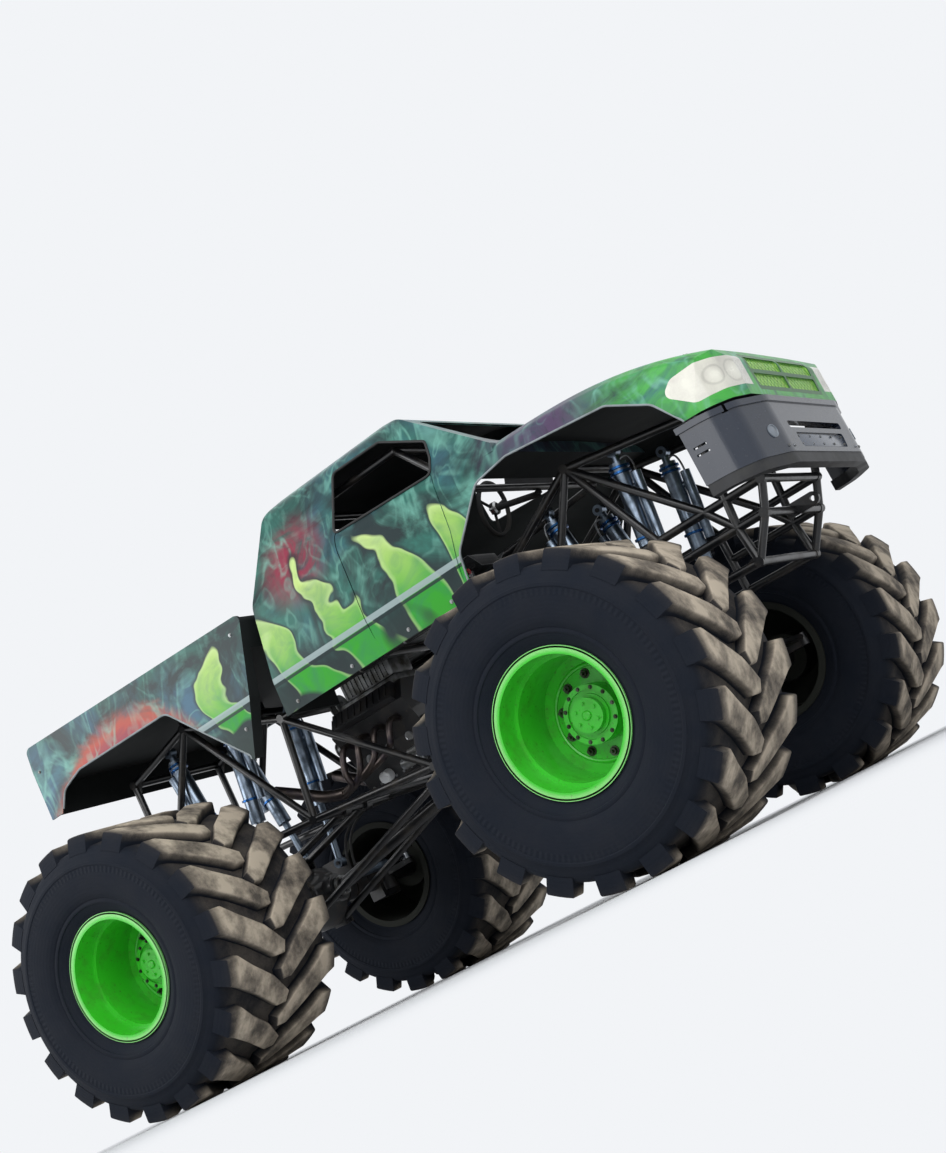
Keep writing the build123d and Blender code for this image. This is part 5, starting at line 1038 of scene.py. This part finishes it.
class TRUCK_OT_chassis(bpy.types.Operator):
    """Frame, axles, links, shocks and lines"""

    bl_idname = "truck.chassis"
    bl_label = "Chassis"

    def execute(self, context):
        black, cast = made_of("black powder coat"), made_of("cast steel enamel")
        finishes = (
            (("shocks", "ram_barrel"), made_of("anodised aluminium shock")),
            (("ram_rod",), made_of("hard chromed rod")),
            (("axle_", "knuckle"), cast),
            (("frame_", "cross_tubes", "links_", "tie_rod", "tow_eyes", "roll_cage", "propshafts"), black),
        )
        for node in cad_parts:
            for starts, finish in finishes:
                if node.startswith(starts):
                    dress(node, finish)
        self.add_gussets(black)
        self.add_axle_parts(cast)
        self.add_lines()
        self.add_shock_parts()
        return {"FINISHED"}

    def add_gussets(self, finish):
        """Welded corner plates between the tubes of each side truss."""
        start, reach, hollow = 30 * MM, 130 * MM, 0.22
        builder = bmesh.new()
        for side in SIDES:
            for joint, first, second in GUSSETS:
                corner = Vector(JOINTS[joint])
                runs = [(Vector(JOINTS[name]) - corner).normalized() for name in (first, second)]
                near = [corner + run * start for run in runs]
                far = [corner + run * reach for run in runs]
                outline = [near[0], far[0], far[0].lerp(far[1], 0.5).lerp(corner, hollow), far[1], near[1]]
                plate(builder, [(point.x, side * FRAME_Y, point.y) for point in outline], 6 * MM)
        place_mesh("frame_gussets", builder, finish, smooth=20)

    def add_axle_parts(self, finish):
        """Cover bolts and ribs on both housings, and bolts on the yokes."""
        steel, tube = made_of("black oxide bolt"), 80 * MM
        for name, axle_x, ahead in (("front", FRONT_X, 1), ("rear", REAR_X, -1)):
            heads, ribs = bmesh.new(), bmesh.new()
            for side in SIDES:
                face = Vector((axle_x, side * 0.15, AXLE_Z))
                hex_heads(heads, ring_places(face, (0, side, 0), 0.178, 16), (0, side, 0), 0.019, 0.011)
                spun(ribs, [(0, 0.155), (0.012, 0.155), (0.014, 0.11), (0.05, 0.1), (0.055, tube + 1 * MM),
                            (0, tube + 1 * MM)], face, (0, side, 0), 48)
                for z in (-0.095, 0.095):
                    yoke_bolts = [(axle_x + x, side * 0.76, AXLE_Z + z) for x in (-0.03, 0.03)]
                    hex_heads(heads, yoke_bolts, (0, side, 0), 20 * MM, 12 * MM)
                for y in (0.36, 0.46, 0.6):
                    spun(ribs, [(-0.008, tube), (-0.008, tube + 8 * MM), (0.008, tube + 8 * MM), (0.008, tube)],
                         (axle_x, side * y, AXLE_Z), (0, 1, 0), 36)
            spun(ribs, [(-0.145, 0.201), (-0.135, 0.208), (0.135, 0.208), (0.145, 0.201)], (axle_x, 0, AXLE_Z),
                 (0, 1, 0), 64)
            spun(ribs, [(-0.02, tube), (-0.02, 0.095), (-0.004, 0.095), (-0.004, 0.06), (-0.004, tube)],
                 (axle_x - ahead * 0.29, 0, AXLE_Z), (-ahead, 0, 0), 36)
            place_mesh(f"axle_bolts_{name}", heads, steel, smooth=30)
            place_mesh(f"axle_ribs_{name}", ribs, finish, smooth=30)

    def add_lines(self):
        """Steering hoses, brake lines and loom along the frame, clipped to what carries them."""
        hoses, brakes, looms, clips = [], [], [], bmesh.new()
        for axle_x, ahead in ((FRONT_X, 1), (REAR_X, -1)):
            ram_x = axle_x - ahead * 0.28
            for start_y, shift in ((0.2, 0.0), (0.26, 0.03)):
                route = ((0.0, start_y, 0.072), (0.0, start_y, 0.16), (0.05, start_y + 0.05, 0.33),
                         (0.2 + shift, 0.36, 0.42), (0.36 + shift, 0.385, 0.4), (0.6 + shift, 0.385, 0.37 - shift),
                         (1.0 + shift, 0.385, 0.335 - shift))
                hoses.append([(ram_x - ahead * back, y, AXLE_Z + z) for back, y, z in route])
            route = ((0.02, 0.16, 0.19), (0.03, 0.24, 0.1), (0.03, 0.3, 0.088), (0.03, 0.66, 0.088),
                     (0.03, 0.71, 0.12))
            for side in SIDES:
                brakes.append([(axle_x + ahead * x, side * y, AXLE_Z + z) for x, y, z in route])
        for side in SIDES:
            run = [JOINTS[name] for name in ("rear_tower", "rear_knee", "mid_top", "cab_knee", "front_tower")]
            looms.append([(x, side * (FRAME_Y - 0.034), z - 0.012) for x, z in run])
        tubes("steering_hoses", hoses, 9 * MM, made_of("hydraulic hose rubber"))
        tubes("brake_lines", brakes, 4 * MM, made_of("plated brake line"))
        tubes("wiring_loom", looms, 11 * MM, made_of("split loom"), kind="POLY")
        band = [(-0.006, 0.0245), (-0.006, 0.0275), (0.006, 0.0275), (0.006, 0.0245)]
        for side in SIDES:
            for start, end in (("rear_knee", "mid_top"), ("mid_top", "cab_knee"), ("mid_low", "front_low")):
                a, b = Vector(JOINTS[start]), Vector(JOINTS[end])
                for share in (0.2, 0.5, 0.8):
                    spot = a.lerp(b, share)
                    spun(clips, band, (spot.x, side * FRAME_Y, spot.y), (b.x - a.x, 0, b.y - a.y), 20)
        place_mesh("frame_clamps", clips, made_of("stainless clamp"))

    def add_shock_parts(self):
        """Adjuster rings and reservoir hoses on the eight shocks."""
        builder = bmesh.new()
        lines = []
        for axle_x, rails in ((FRONT_X, (("cab_knee", "front_tower"), ("front_tower", "nose_top"))),
                              (REAR_X, (("tail_top", "rear_tower"), ("rear_tower", "rear_knee")))):
            for out, (start, end) in zip((-1, 1), rails):
                top_x = axle_x + out * 0.27
                (x1, z1), (x2, z2) = JOINTS[start], JOINTS[end]
                top = Vector((top_x, 0, z1 + (z2 - z1) * (top_x - x1) / (x2 - x1)))
                low = Vector((axle_x + out * 0.115, 0, AXLE_Z + 0.172))
                along = (low - top).normalized()
                for side in SIDES:
                    start_place = top + Vector((0, side * 0.34, 0))
                    for far in (0.1, 0.13, 0.52):
                        spun(builder, [(-0.009, 0.05), (-0.006, 0.062), (0.006, 0.062), (0.009, 0.05)],
                             start_place + along * far, along, 32)
                    lines.append([start_place + along * far + Vector((out * x, side * y, z)) for far, x, y, z in (
                        (0.07, 0.0, 0.0, 0.0), (0.05, 0.06, -0.02, 0.02), (0.12, 0.095, -0.01, 0.0),
                        (0.2, 0.088, 0.0, 0.0))])
        place_mesh("shock_rings", builder, made_of("blue anodised ring"))
        tubes("shock_hoses", lines, 6 * MM, made_of("braided steel hose"))


class TRUCK_OT_engine(bpy.types.Operator):
    """Engine covers, inlet, headers, pulleys and driveline flanges"""

    bl_idname = "truck.engine"
    bl_label = "Engine"

    def execute(self, context):
        low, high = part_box("engine")
        cast, case = made_of("cast aluminium"), made_of("cast aluminium case")
        dress("engine", made_of("engine block enamel"))
        dress("gearbox", case)
        self.add_covers(low)
        self.add_inlet(low, high, cast)
        self.add_headers(low)
        self.add_pulleys(low, cast)
        self.add_flanges(cast)
        self.add_block_fittings(low)
        self.add_case_parts(case)
        return {"FINISHED"}

    def add_covers(self, low):
        """Finned rocker covers on the slanted faces of the heads."""
        fin_pitch = 55 * MM
        plates = [(0.05, 0.56, 45 * MM, 12 * MM)]
        plates += [(0.075 + fin_pitch * i, 0.087 + fin_pitch * i, 55 * MM, 30 * MM) for i in range(9)]
        builder = bmesh.new()
        for side in SIDES:
            outer, inner = (Vector((0, side * y, ENGINE_FOOT + z)) for y, z in (HEAD_OUTER, HEAD_INNER))
            slope = (inner - outer).normalized()
            normal = Vector((1, 0, 0)).cross(slope) * -side
            if normal.z < 0:
                normal = -normal
            for start, end, depth, inset in plates:
                a = outer + slope * inset + normal * depth / 2
                b = inner - slope * inset + normal * depth / 2
                plate(builder, [(low.x + start, a.y, a.z), (low.x + end, a.y, a.z), (low.x + end, b.y, b.z),
                                (low.x + start, b.y, b.z)], depth, 4 * MM)
        place_mesh("rocker_covers", builder, made_of("wrinkle black cover"), smooth=30)

    def add_inlet(self, low, high, cast):
        """Ribbed supercharger case on its manifold, with a scoop on top."""
        builder = bmesh.new()
        manifold, case, lid, scoop_top = (high.z + rise for rise in (0.06, 0.23, 0.262, 0.37))
        rib_pitch, rib = 35 * MM, 12 * MM
        block(builder, (low.x + 0.06, -0.14, high.z - 0.005), (high.x - 0.06, 0.14, manifold), 8 * MM)
        block(builder, (low.x + 0.1, -0.125, manifold), (high.x - 0.08, 0.125, case), 30 * MM)
        for step in range(11):
            x = low.x + 0.125 + step * rib_pitch
            block(builder, (x, -0.133, manifold + 15 * MM), (x + rib, 0.133, case - 15 * MM), 4 * MM)
        block(builder, (low.x + 0.12, -0.1, case), (high.x - 0.12, 0.1, lid), 6 * MM)
        block(builder, (low.x + 0.1, -0.13, lid), (high.x - 0.09, 0.13, scoop_top), 20 * MM)
        mouth = [vert for vert in builder.verts if vert.co.z > lid + 8 * MM and vert.co.x < low.x + 0.3]
        bmesh.ops.scale(builder, verts=mouth, vec=(1, 0.8, 0.75), space=Matrix.Translation((0, 0, -lid)))
        place_mesh("supercharger", builder, cast, smooth=30)

    def add_headers(self, low):
        """Four primaries a side into a collector that runs back under the floor."""
        foot, bore_pitch, pipe = ENGINE_FOOT, 0.135, made_of("blued stainless header")
        lines, collectors = [], []
        for side in SIDES:
            for i in range(4):
                x = low.x + 0.09 + bore_pitch * i
                gather = low.x + 0.02 + 0.012 * i
                lines.append([(x, side * 0.235, foot + 0.31), (x, side * 0.31, foot + 0.33),
                              (x - 0.02, side * 0.365, foot + 0.27), (x - 0.06, side * 0.37, foot + 0.14),
                              (gather + 0.02, side * (0.33 - 0.012 * (i % 2)), foot + 0.07 + 0.016 * (i // 2)),
                              (gather - 0.12, side * (0.3 - 0.018 * (i % 2)), foot + 0.06 + 0.02 * (i // 2))])
            collectors.append([(low.x - 0.08, side * 0.29, foot + 0.07), (low.x - 0.2, side * 0.29, foot + 0.09),
                               (low.x - 0.38, side * 0.3, foot + 0.2), (low.x - 0.55, side * 0.33, foot + 0.3)])
        tubes("header_pipes", lines, 21 * MM, pipe, sides=5)
        tubes("header_collectors", collectors, 38 * MM, pipe, sides=6)

    def add_pulleys(self, low, cast):
        """Crank, supercharger and idler pulleys on the engine's free end, with one flat belt."""
        wheels = ((0.0, 0.14, 0.085), (0.0, 0.62, 0.07), (0.16, 0.3, 0.05), (-0.15, 0.34, 0.055))
        builder = bmesh.new()
        for y, z, radius in wheels:
            hub = Vector((low.x - 0.045, y, ENGINE_FOOT + z))
            spun(builder, [(-0.03, 0.02), (0.03, 0.02), (0.03, radius), (0.022, radius), (0.02, radius - 0.008),
                           (-0.02, radius - 0.008), (-0.022, radius), (-0.03, radius)], hub, (1, 0, 0), 36)
            spun(builder, [(-0.05, 0.0), (-0.05, 0.016), (0.05, 0.022), (0.05, 0.0)], hub, (1, 0, 0), 20,
                 closed=False)
        place_mesh("pulleys", builder, cast, smooth=30)
        belt = bmesh.new()
        verts = []
        for (y, z, radius), way in zip(wheels, (-1, 1)):
            run = way * (radius - 0.004)
            for i in range(13):
                a = math.pi * i / 12
                verts.append(belt.verts.new((low.x - 0.063, y + run * math.cos(a),
                                             ENGINE_FOOT + z + run * math.sin(a))))
        edges = [belt.edges.new(pair) for pair in zip(verts, verts[1:] + verts[:1])]
        far = new_verts(bmesh.ops.extrude_edge_only(belt, edges=edges))
        bmesh.ops.translate(belt, verts=far, vec=(0.036, 0, 0))
        bmesh.ops.recalc_face_normals(belt, faces=belt.faces)
        bmesh.ops.solidify(belt, geom=belt.faces[:], thickness=0.004)
        place_mesh("drive_belt", belt, made_of("belt rubber"), smooth=30)

    def add_block_fittings(self, low):
        """A starter, an oil filter, core plugs and pan bolts on each side of the block."""
        foot = ENGINE_FOOT
        bright, filters = bmesh.new(), bmesh.new()
        for side in SIDES:
            outward = Vector((0, side, 0))
            for step in range(9):
                place, normal = surface_point(["engine"], (low.x + 0.04 + 0.065 * step, side, foot + 0.022), -outward)
                hex_heads(bright, [place], normal, 0.012, 0.007)
            for x in (0.13, 0.3, 0.47):
                place, normal = surface_point(["engine"], (low.x + x, side, foot + 0.19), -outward)
                spun(bright, [(0, 0.0), (0.003, 0.0), (0.003, 0.024), (0.006, 0.028), (0, 0.03)], place, normal, 28,
                     closed=False)
            place, _ = surface_point(["engine"], (low.x + 0.44, side, foot + 0.05), -outward)
            motor = place + outward * 0.032
            for centre, radius, reach in ((motor, 0.036, 0.1), (motor + Vector((0.03, 0, 0.05)), 0.02, 0.055)):
                spun(bright, [(-reach, 0.0), (-reach, radius * 0.9), (-reach * 0.9, radius), (reach * 0.8, radius),
                              (reach * 0.85, radius * 0.7), (reach, radius * 0.7), (reach, 0.0)],
                     centre, (1, 0, 0), 28, closed=False)
            place, normal = surface_point(["engine"], (low.x + 0.2, side, foot + 0.05), -outward)
            spun(filters, [(-0.01, 0.03), (0.012, 0.03), (0.014, 0.04), (0.075, 0.04), (0.084, 0.03), (0.084, 0.0)],
                 place, (0, side, -0.25), 32, closed=False)
        place_mesh("block_fittings", bright, made_of("zinc plated fitting"), smooth=30)
        place_mesh("oil_filters", filters, made_of("white filter enamel"), smooth=30)

    def add_case_parts(self, case):
        """Bell housing flange, ribs, pan and covers of the gearbox and its transfer case."""
        low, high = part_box("gearbox")
        foot, cover_y = high.z - 0.26, 0.13
        sections = [(low.x + 0.006, 0.012, ((0.162, -0.006), (0.213, 0.09), (0.172, 0.262)))]
        sections += [(low.x + 0.29 + 0.05 * i, 0.011, ((0.114, -0.004), (0.146, 0.06), (0.112, 0.202)))
                     for i in range(5)]
        builder, heads = bmesh.new(), bmesh.new()
        for x, thick, half in sections:
            outline = [(x, -y, foot + z) for y, z in half] + [(x, y, foot + z) for y, z in reversed(half)]
            plate(builder, outline, thick, 2 * MM)
        block(builder, (low.x + 0.275, -0.085, foot - 0.045), (low.x + 0.5, 0.085, foot), 8 * MM)
        block(builder, (low.x + 0.26, -0.1, foot - 0.008), (low.x + 0.515, 0.1, foot), 2 * MM)
        for side in SIDES:
            bell = [(low.x + 0.012, side * y, foot + z)
                    for y, z in ((0.167, 0.027), (0.192, 0.072), (0.194, 0.124), (0.178, 0.192))]
            hex_heads(heads, bell, (1, 0, 0), 0.015, 0.009)
            pan = [(low.x + 0.28 + 0.055 * i, side * 0.092, foot - 0.008) for i in range(5)]
            hex_heads(heads, pan, (0, 0, -1), 0.01, 0.006)
            cover = Vector((high.x - 0.09, side * cover_y, foot - 0.07))
            spun(builder, [(0, 0.0), (0.012, 0.0), (0.012, 0.045), (0.006, 0.06), (0, 0.062)], cover, (0, side, 0), 32,
                 closed=False)
            corners = [(high.x - d, side * cover_y, foot + z) for d in (0.155, 0.025) for z in (-0.14, 0.04, 0.155)]
            hex_heads(heads, corners, (0, side, 0), 0.017, 0.011)
        place_mesh("case_parts", builder, case, smooth=30)
        place_mesh("case_bolts", heads, made_of("zinc plated case bolt"), smooth=30)

    def add_flanges(self, cast):
        """Flange rings with their bolts at the outer ends of the propeller shafts."""
        builder = bmesh.new()
        low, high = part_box("propshafts")
        for x, direction in ((low.x, -1), (high.x, 1)):
            centre = Vector((x - direction * 0.02, 0, AXLE_Z))
            spun(builder, [(-0.012, 0.05), (-0.012, 0.066), (0.012, 0.066), (0.012, 0.05)], centre,
                 (direction, 0, 0), 36)
            hex_heads(builder, ring_places(centre - Vector((direction * 0.012, 0, 0)), (-direction, 0, 0), 0.058, 6),
                      (-direction, 0, 0), 0.014, 0.009)
        place_mesh("shaft_flanges", builder, cast, smooth=30)


class TRUCK_OT_cockpit(bpy.types.Operator):
    """Bucket seat with its belts, steering wheel, gauges and bottle"""

    bl_idname = "truck.cockpit"
    bl_label = "Cockpit"

    def execute(self, context):
        low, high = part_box("seat")
        self.add_seat(low, high)
        self.add_harness(low, high)
        dress("steering_wheel", made_of("suede rim"))
        self.add_dash()
        return {"FINISHED"}

    def add_seat(self, low, high):
        """Bucket: a bent sheet shell with a crowned base and back pad and a head rest."""
        builder = bmesh.new()
        base_z, back_x, half_width = low.z + 0.2, low.x + 0.115, 0.215
        tilt, wing_start, wing_lift = 0.12 / 0.7, 0.13, 0.07
        section = [(high.x - 0.01, base_z - 0.03), (low.x + 0.14, base_z - 0.05), (low.x + 0.09, base_z + 0.02),
                   (low.x + 0.0, high.z - 0.02)]
        start = [builder.verts.new((x, -half_width, z)) for x, z in section]
        edges = [builder.edges.new(pair) for pair in zip(start, start[1:])]
        far = new_verts(bmesh.ops.extrude_edge_only(builder, edges=edges))
        bmesh.ops.translate(builder, verts=far, vec=(0, 2 * half_width, 0))
        bmesh.ops.subdivide_edges(builder, edges=builder.edges[:], cuts=3, use_grid_fill=True)
        for vert in builder.verts:
            edge_share = max(0.0, abs(vert.co.y) - wing_start) / (half_width - wing_start)
            lift = wing_lift * edge_share ** 2
            back_share = min(1.0, max(0.0, (vert.co.z - base_z) / 0.1))
            vert.co.x += lift * back_share
            vert.co.z += lift * (1 - back_share)
        bmesh.ops.recalc_face_normals(builder, faces=builder.faces)
        bmesh.ops.solidify(builder, geom=builder.faces[:], thickness=0.004)
        for y in (-0.18, 0.15):
            block(builder, (low.x + 0.1, y, low.z + 0.001), (high.x - 0.06, y + 0.03, base_z - 0.04), 4 * MM)
        shell = place_mesh("seat_shell", builder, made_of("aluminium seat shell"), smooth=50)
        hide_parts("seat")
        cloth = made_of("woven black seat cloth")
        pads = (
            ("seat_base_pad", (low.x + 0.15, -0.17, base_z - 0.025), (high.x - 0.03, 0.17, base_z + 0.055), 0.0),
            ("seat_back_pad", (back_x, -0.17, base_z + 0.07), (back_x + 0.075, 0.17, high.z - 0.2), -tilt),
            ("head_rest", (back_x, -0.12, high.z - 0.175), (back_x + 0.07, 0.12, high.z - 0.03), -tilt),
        )
        for name, pad_low, pad_high, lean in pads:
            pad = bmesh.new()
            block(pad, pad_low, pad_high, 0.022)
            bmesh.ops.subdivide_edges(pad, edges=[e for e in pad.edges if e.calc_length() > 0.05], cuts=5,
                                      use_grid_fill=True)
            centre = (Vector(pad_low) + Vector(pad_high)) / 2
            for vert in pad.verts:
                side_share = 1 - min(1.0, abs(vert.co.y - centre.y) / ((pad_high[1] - pad_low[1]) / 2)) ** 2
                if lean:
                    long_share = 1 - min(1.0, abs(vert.co.z - centre.z) / ((pad_high[2] - pad_low[2]) / 2)) ** 2
                    if vert.co.x > centre.x:
                        vert.co.x += 0.018 * side_share * long_share
                    vert.co.x += lean * (vert.co.z - base_z - 0.02)
                elif vert.co.z > centre.z:
                    long_share = 1 - min(1.0, abs(vert.co.x - centre.x) / ((pad_high[0] - pad_low[0]) / 2)) ** 2
                    vert.co.z += 0.015 * side_share * long_share
            piece = place_mesh(name, pad, cloth, smooth=60)

    def add_harness(self, low, high):
        """Shoulder and lap straps of a harness, with a round buckle."""
        base_z, width = low.z + 0.2, 45 * MM
        builder = bmesh.new()
        for side in SIDES:
            shoulder = [(low.x - 0.02, high.z - 0.21), (low.x + 0.1, high.z - 0.2), (low.x + 0.165, high.z - 0.27),
                        (low.x + 0.2, base_z + 0.3), (low.x + 0.235, base_z + 0.13)]
            self.add_strap(builder, [(x, side * (0.085 - 0.012 * i), z) for i, (x, z) in enumerate(shoulder)],
                           (0, 1, 0), width)
            self.add_strap(builder, [(low.x + 0.17, side * 0.19, base_z + 0.03),
                                     (low.x + 0.225, side * 0.13, base_z + 0.085),
                                     (low.x + 0.245, side * 0.04, base_z + 0.12)], (0.3, 0, 1), width)
        place_mesh("harness_straps", builder, made_of("red harness webbing"), smooth=60)
        buckle = bmesh.new()
        spun(buckle, [(-0.006, 0.0), (-0.006, 0.032), (0.006, 0.034), (0.012, 0.028), (0.012, 0.0)],
             (low.x + 0.25, 0, base_z + 0.125), (1, 0, 0.25), 32, closed=False)
        place_mesh("harness_buckle", buckle, made_of("chromed buckle"))

    def add_strap(self, builder, line, across, width):
        """Flat strap along a line of points, its width along one direction."""
        half = Vector(across).normalized() * width / 2
        previous = None
        for place in line:
            ends = [builder.verts.new(Vector(place) - half), builder.verts.new(Vector(place) + half)]
            if previous:
                face = builder.faces.new((previous[0], previous[1], ends[1], ends[0]))
                bmesh.ops.solidify(builder, geom=[face], thickness=0.002)
            previous = ends

    def add_dash(self):
        """Blank gauges in a sloping panel on the dash tube, a wheel boss and a fire bottle."""
        dash_x, dash_z = FRONT_X - 0.415, AXLE_Z + 1.512
        builder = bmesh.new()
        plate(builder, [(dash_x - 0.03, -0.3, dash_z + 0.03), (dash_x - 0.03, 0.3, dash_z + 0.03),
                        (dash_x + 0.02, 0.3, dash_z + 0.15), (dash_x + 0.02, -0.3, dash_z + 0.15)], 3 * MM)
        place_mesh("dash_panel", builder, made_of("crackle black panel"), smooth=20)
        ring = made_of("polished bezel")
        bezels, dials = bmesh.new(), bmesh.new()
        normal = Vector((-0.12, 0, 0.05)).normalized()
        for y in (-0.22, -0.11, 0.11, 0.22):
            centre = Vector((dash_x - 0.008, y, dash_z + 0.09))
            spun(bezels, [(0, 0.036), (0.01, 0.036), (0.012, 0.04), (0, 0.043)], centre, normal, 32)
            spun(dials, [(0.004, 0.0), (0.004, 0.036)], centre, normal, 32, closed=False)
        place_mesh("gauge_bezels", bezels, ring)
        place_mesh("gauge_faces", dials, made_of("white dial face"))
        hub = Vector((FRONT_X - 0.735, 0, AXLE_Z + 1.542))
        column = (Vector((dash_x, 0, dash_z)) - hub).normalized()
        boss = bmesh.new()
        spun(boss, [(-0.016, 0.0), (-0.016, 0.03), (-0.006, 0.042), (0.02, 0.042), (0.03, 0.03)], hub, column, 32,
             closed=False)
        hex_heads(boss, ring_places(hub - column * 0.014, -column, 0.03, 6), -column, 0.008, 0.004)
        place_mesh("wheel_boss", boss, ring, smooth=30)
        bottle = bmesh.new()
        base = Vector((FRONT_X - 1.25, -0.42, AXLE_Z + 1.2))
        spun(bottle, [(0, 0.0), (0, 0.045), (0.012, 0.06), (0.3, 0.06), (0.35, 0.042), (0.37, 0.018), (0.4, 0.018),
                      (0.4, 0.0)], base, (1, 0, 0), 36, closed=False)
        place_mesh("fire_bottle", bottle, powder_coat("red bottle enamel", "#A3191B", "#5A2A22", 0.25, centre=base))


class TRUCK_OT_stage(bpy.types.Operator):
    """Floor, lamps, world and camera"""

    bl_idname = "truck.stage"
    bl_label = "Stage"

    def execute(self, context):
        settings = context.scene.truck_stage
        self.make_floor()
        self.make_world(context.scene)
        self.make_lamps()
        self.make_camera(context.scene, settings)
        context.scene.view_settings.view_transform = "Standard"
        return {"FINISHED"}

    def make_floor(self):
        """Plain pale floor that fades into the backdrop's tone away from the truck."""
        material, tree, place = new_finish("pale floor paint", Roughness=0.9)
        mottle = add_node(tree, "TexNoise", {"Vector": place, "Scale": 0.6, "Detail": 4.0})
        colour = add_node(tree, "Mix", {0: mottle, 6: "#D9DBDE", 7: "#D4D6D9"}, data_type="RGBA")
        finished(material, Base_Color=colour)
        far = add_node(tree, "VectorMath", {0: place}, operation="LENGTH").node.outputs["Value"]
        near, gone = 3.6, 7.5
        fade = add_node(tree, "MapRange", {"Value": far, 1: near, 2: gone}, interpolation_type="SMOOTHSTEP")
        share = add_node(tree, "Math", {0: fade, 1: seen_by(tree)}, operation="MULTIPLY")
        glow = add_node(tree, "Emission", {"Color": "#F2F4F7"})
        lit = tree.nodes["Principled BSDF"].outputs["BSDF"]
        blended = add_node(tree, "MixShader", {0: share, 1: lit, 2: glow})
        tree.links.new(blended, tree.nodes["Material Output"].inputs["Surface"])
        builder = bmesh.new()
        bmesh.ops.create_grid(builder, x_segments=2, y_segments=2, size=60)
        mesh = as_mesh("floor", builder)
        mesh.materials.append(material)
        floor = add_object("floor", mesh)

    def make_world(self, scene):
        """Even pale surroundings, nearly white where seen directly or mirrored."""
        world = bpy.data.worlds.new("studio")
        world.use_nodes = True
        scene.world = world
        tree = world.node_tree
        background = tree.nodes["Background"]
        background.inputs["Color"].default_value = linear("#F2F4F7")
        strength = add_node(tree, "MapRange", {"Value": seen_by(tree), 3: 0.45, 4: 1.0})
        tree.links.new(strength, background.inputs["Strength"])

    def make_lamps(self):
        """A large key lamp ahead and above, and weaker lamps on the other sides."""
        aim = Vector((0, 0, 1.4))
        for name, place, size, power in (
            ("key", (6.0, -9.0, 9.0), 14.0, 1350.0),
            ("fill", (-8.0, -6.0, 5.0), 6.0, 350.0),
            ("rim", (-3.0, 9.0, 8.0), 6.0, 350.0),
        ):
            data = bpy.data.lights.new(name, "AREA")
            data.size = size
            data.energy = power
            lamp = add_object(name, data)
            lamp.location = place
            lamp.rotation_mode = "QUATERNION"
            lamp.rotation_quaternion = (aim - lamp.location).to_track_quat("-Z", "Y")
            lamp.visible_glossy = name != "rim"

    def make_camera(self, scene, settings):
        """Camera near the floor, turned towards the nose and leaning as in the photograph."""
        data = bpy.data.cameras.new("camera")
        data.lens = settings.focal
        data.clip_end = 200
        camera = add_object("camera", data)
        target = Vector((settings.aim_x, 0, settings.aim_z))
        a = settings.azimuth
        camera.location = (target.x + settings.distance * math.sin(a), -settings.distance * math.cos(a),
                           settings.height)
        view = target - camera.location
        camera.rotation_mode = "QUATERNION"
        roll = Matrix.Rotation(settings.roll, 4, "Z").to_quaternion()
        camera.rotation_quaternion = view.to_track_quat("-Z", "Y") @ roll
        scene.camera = camera


class TRUCK_PT_panel(bpy.types.Panel):
    """Buttons for each group of pieces"""

    bl_label = "Monster truck"
    bl_space_type = "VIEW_3D"
    bl_region_type = "UI"
    bl_category = "Truck"

    def draw(self, context):
        for operator in OPERATORS:
            self.layout.operator(operator.bl_idname)


OPERATORS = (TRUCK_OT_tyres, TRUCK_OT_rims, TRUCK_OT_body, TRUCK_OT_chassis, TRUCK_OT_engine, TRUCK_OT_cockpit,
             TRUCK_OT_stage)
SETTINGS = (("truck_tyre", TyreSettings), ("truck_rim", RimSettings), ("truck_paint", PaintSettings),
            ("truck_stage", StageSettings))


def register():
    for name, group in SETTINGS:
        bpy.utils.register_class(group)
        setattr(bpy.types.Scene, name, PointerProperty(type=group))
    for item in OPERATORS + (TRUCK_PT_panel,):
        bpy.utils.register_class(item)


def unregister():
    for item in reversed(OPERATORS + (TRUCK_PT_panel,)):
        bpy.utils.unregister_class(item)
    for name, group in reversed(SETTINGS):
        delattr(bpy.types.Scene, name)
        bpy.utils.unregister_class(group)


def main():
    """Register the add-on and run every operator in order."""
    register()
    for operator in OPERATORS:
        group, name = operator.bl_idname.split(".")
        getattr(getattr(bpy.ops, group), name)()


if __name__ == "__main__":
    main()
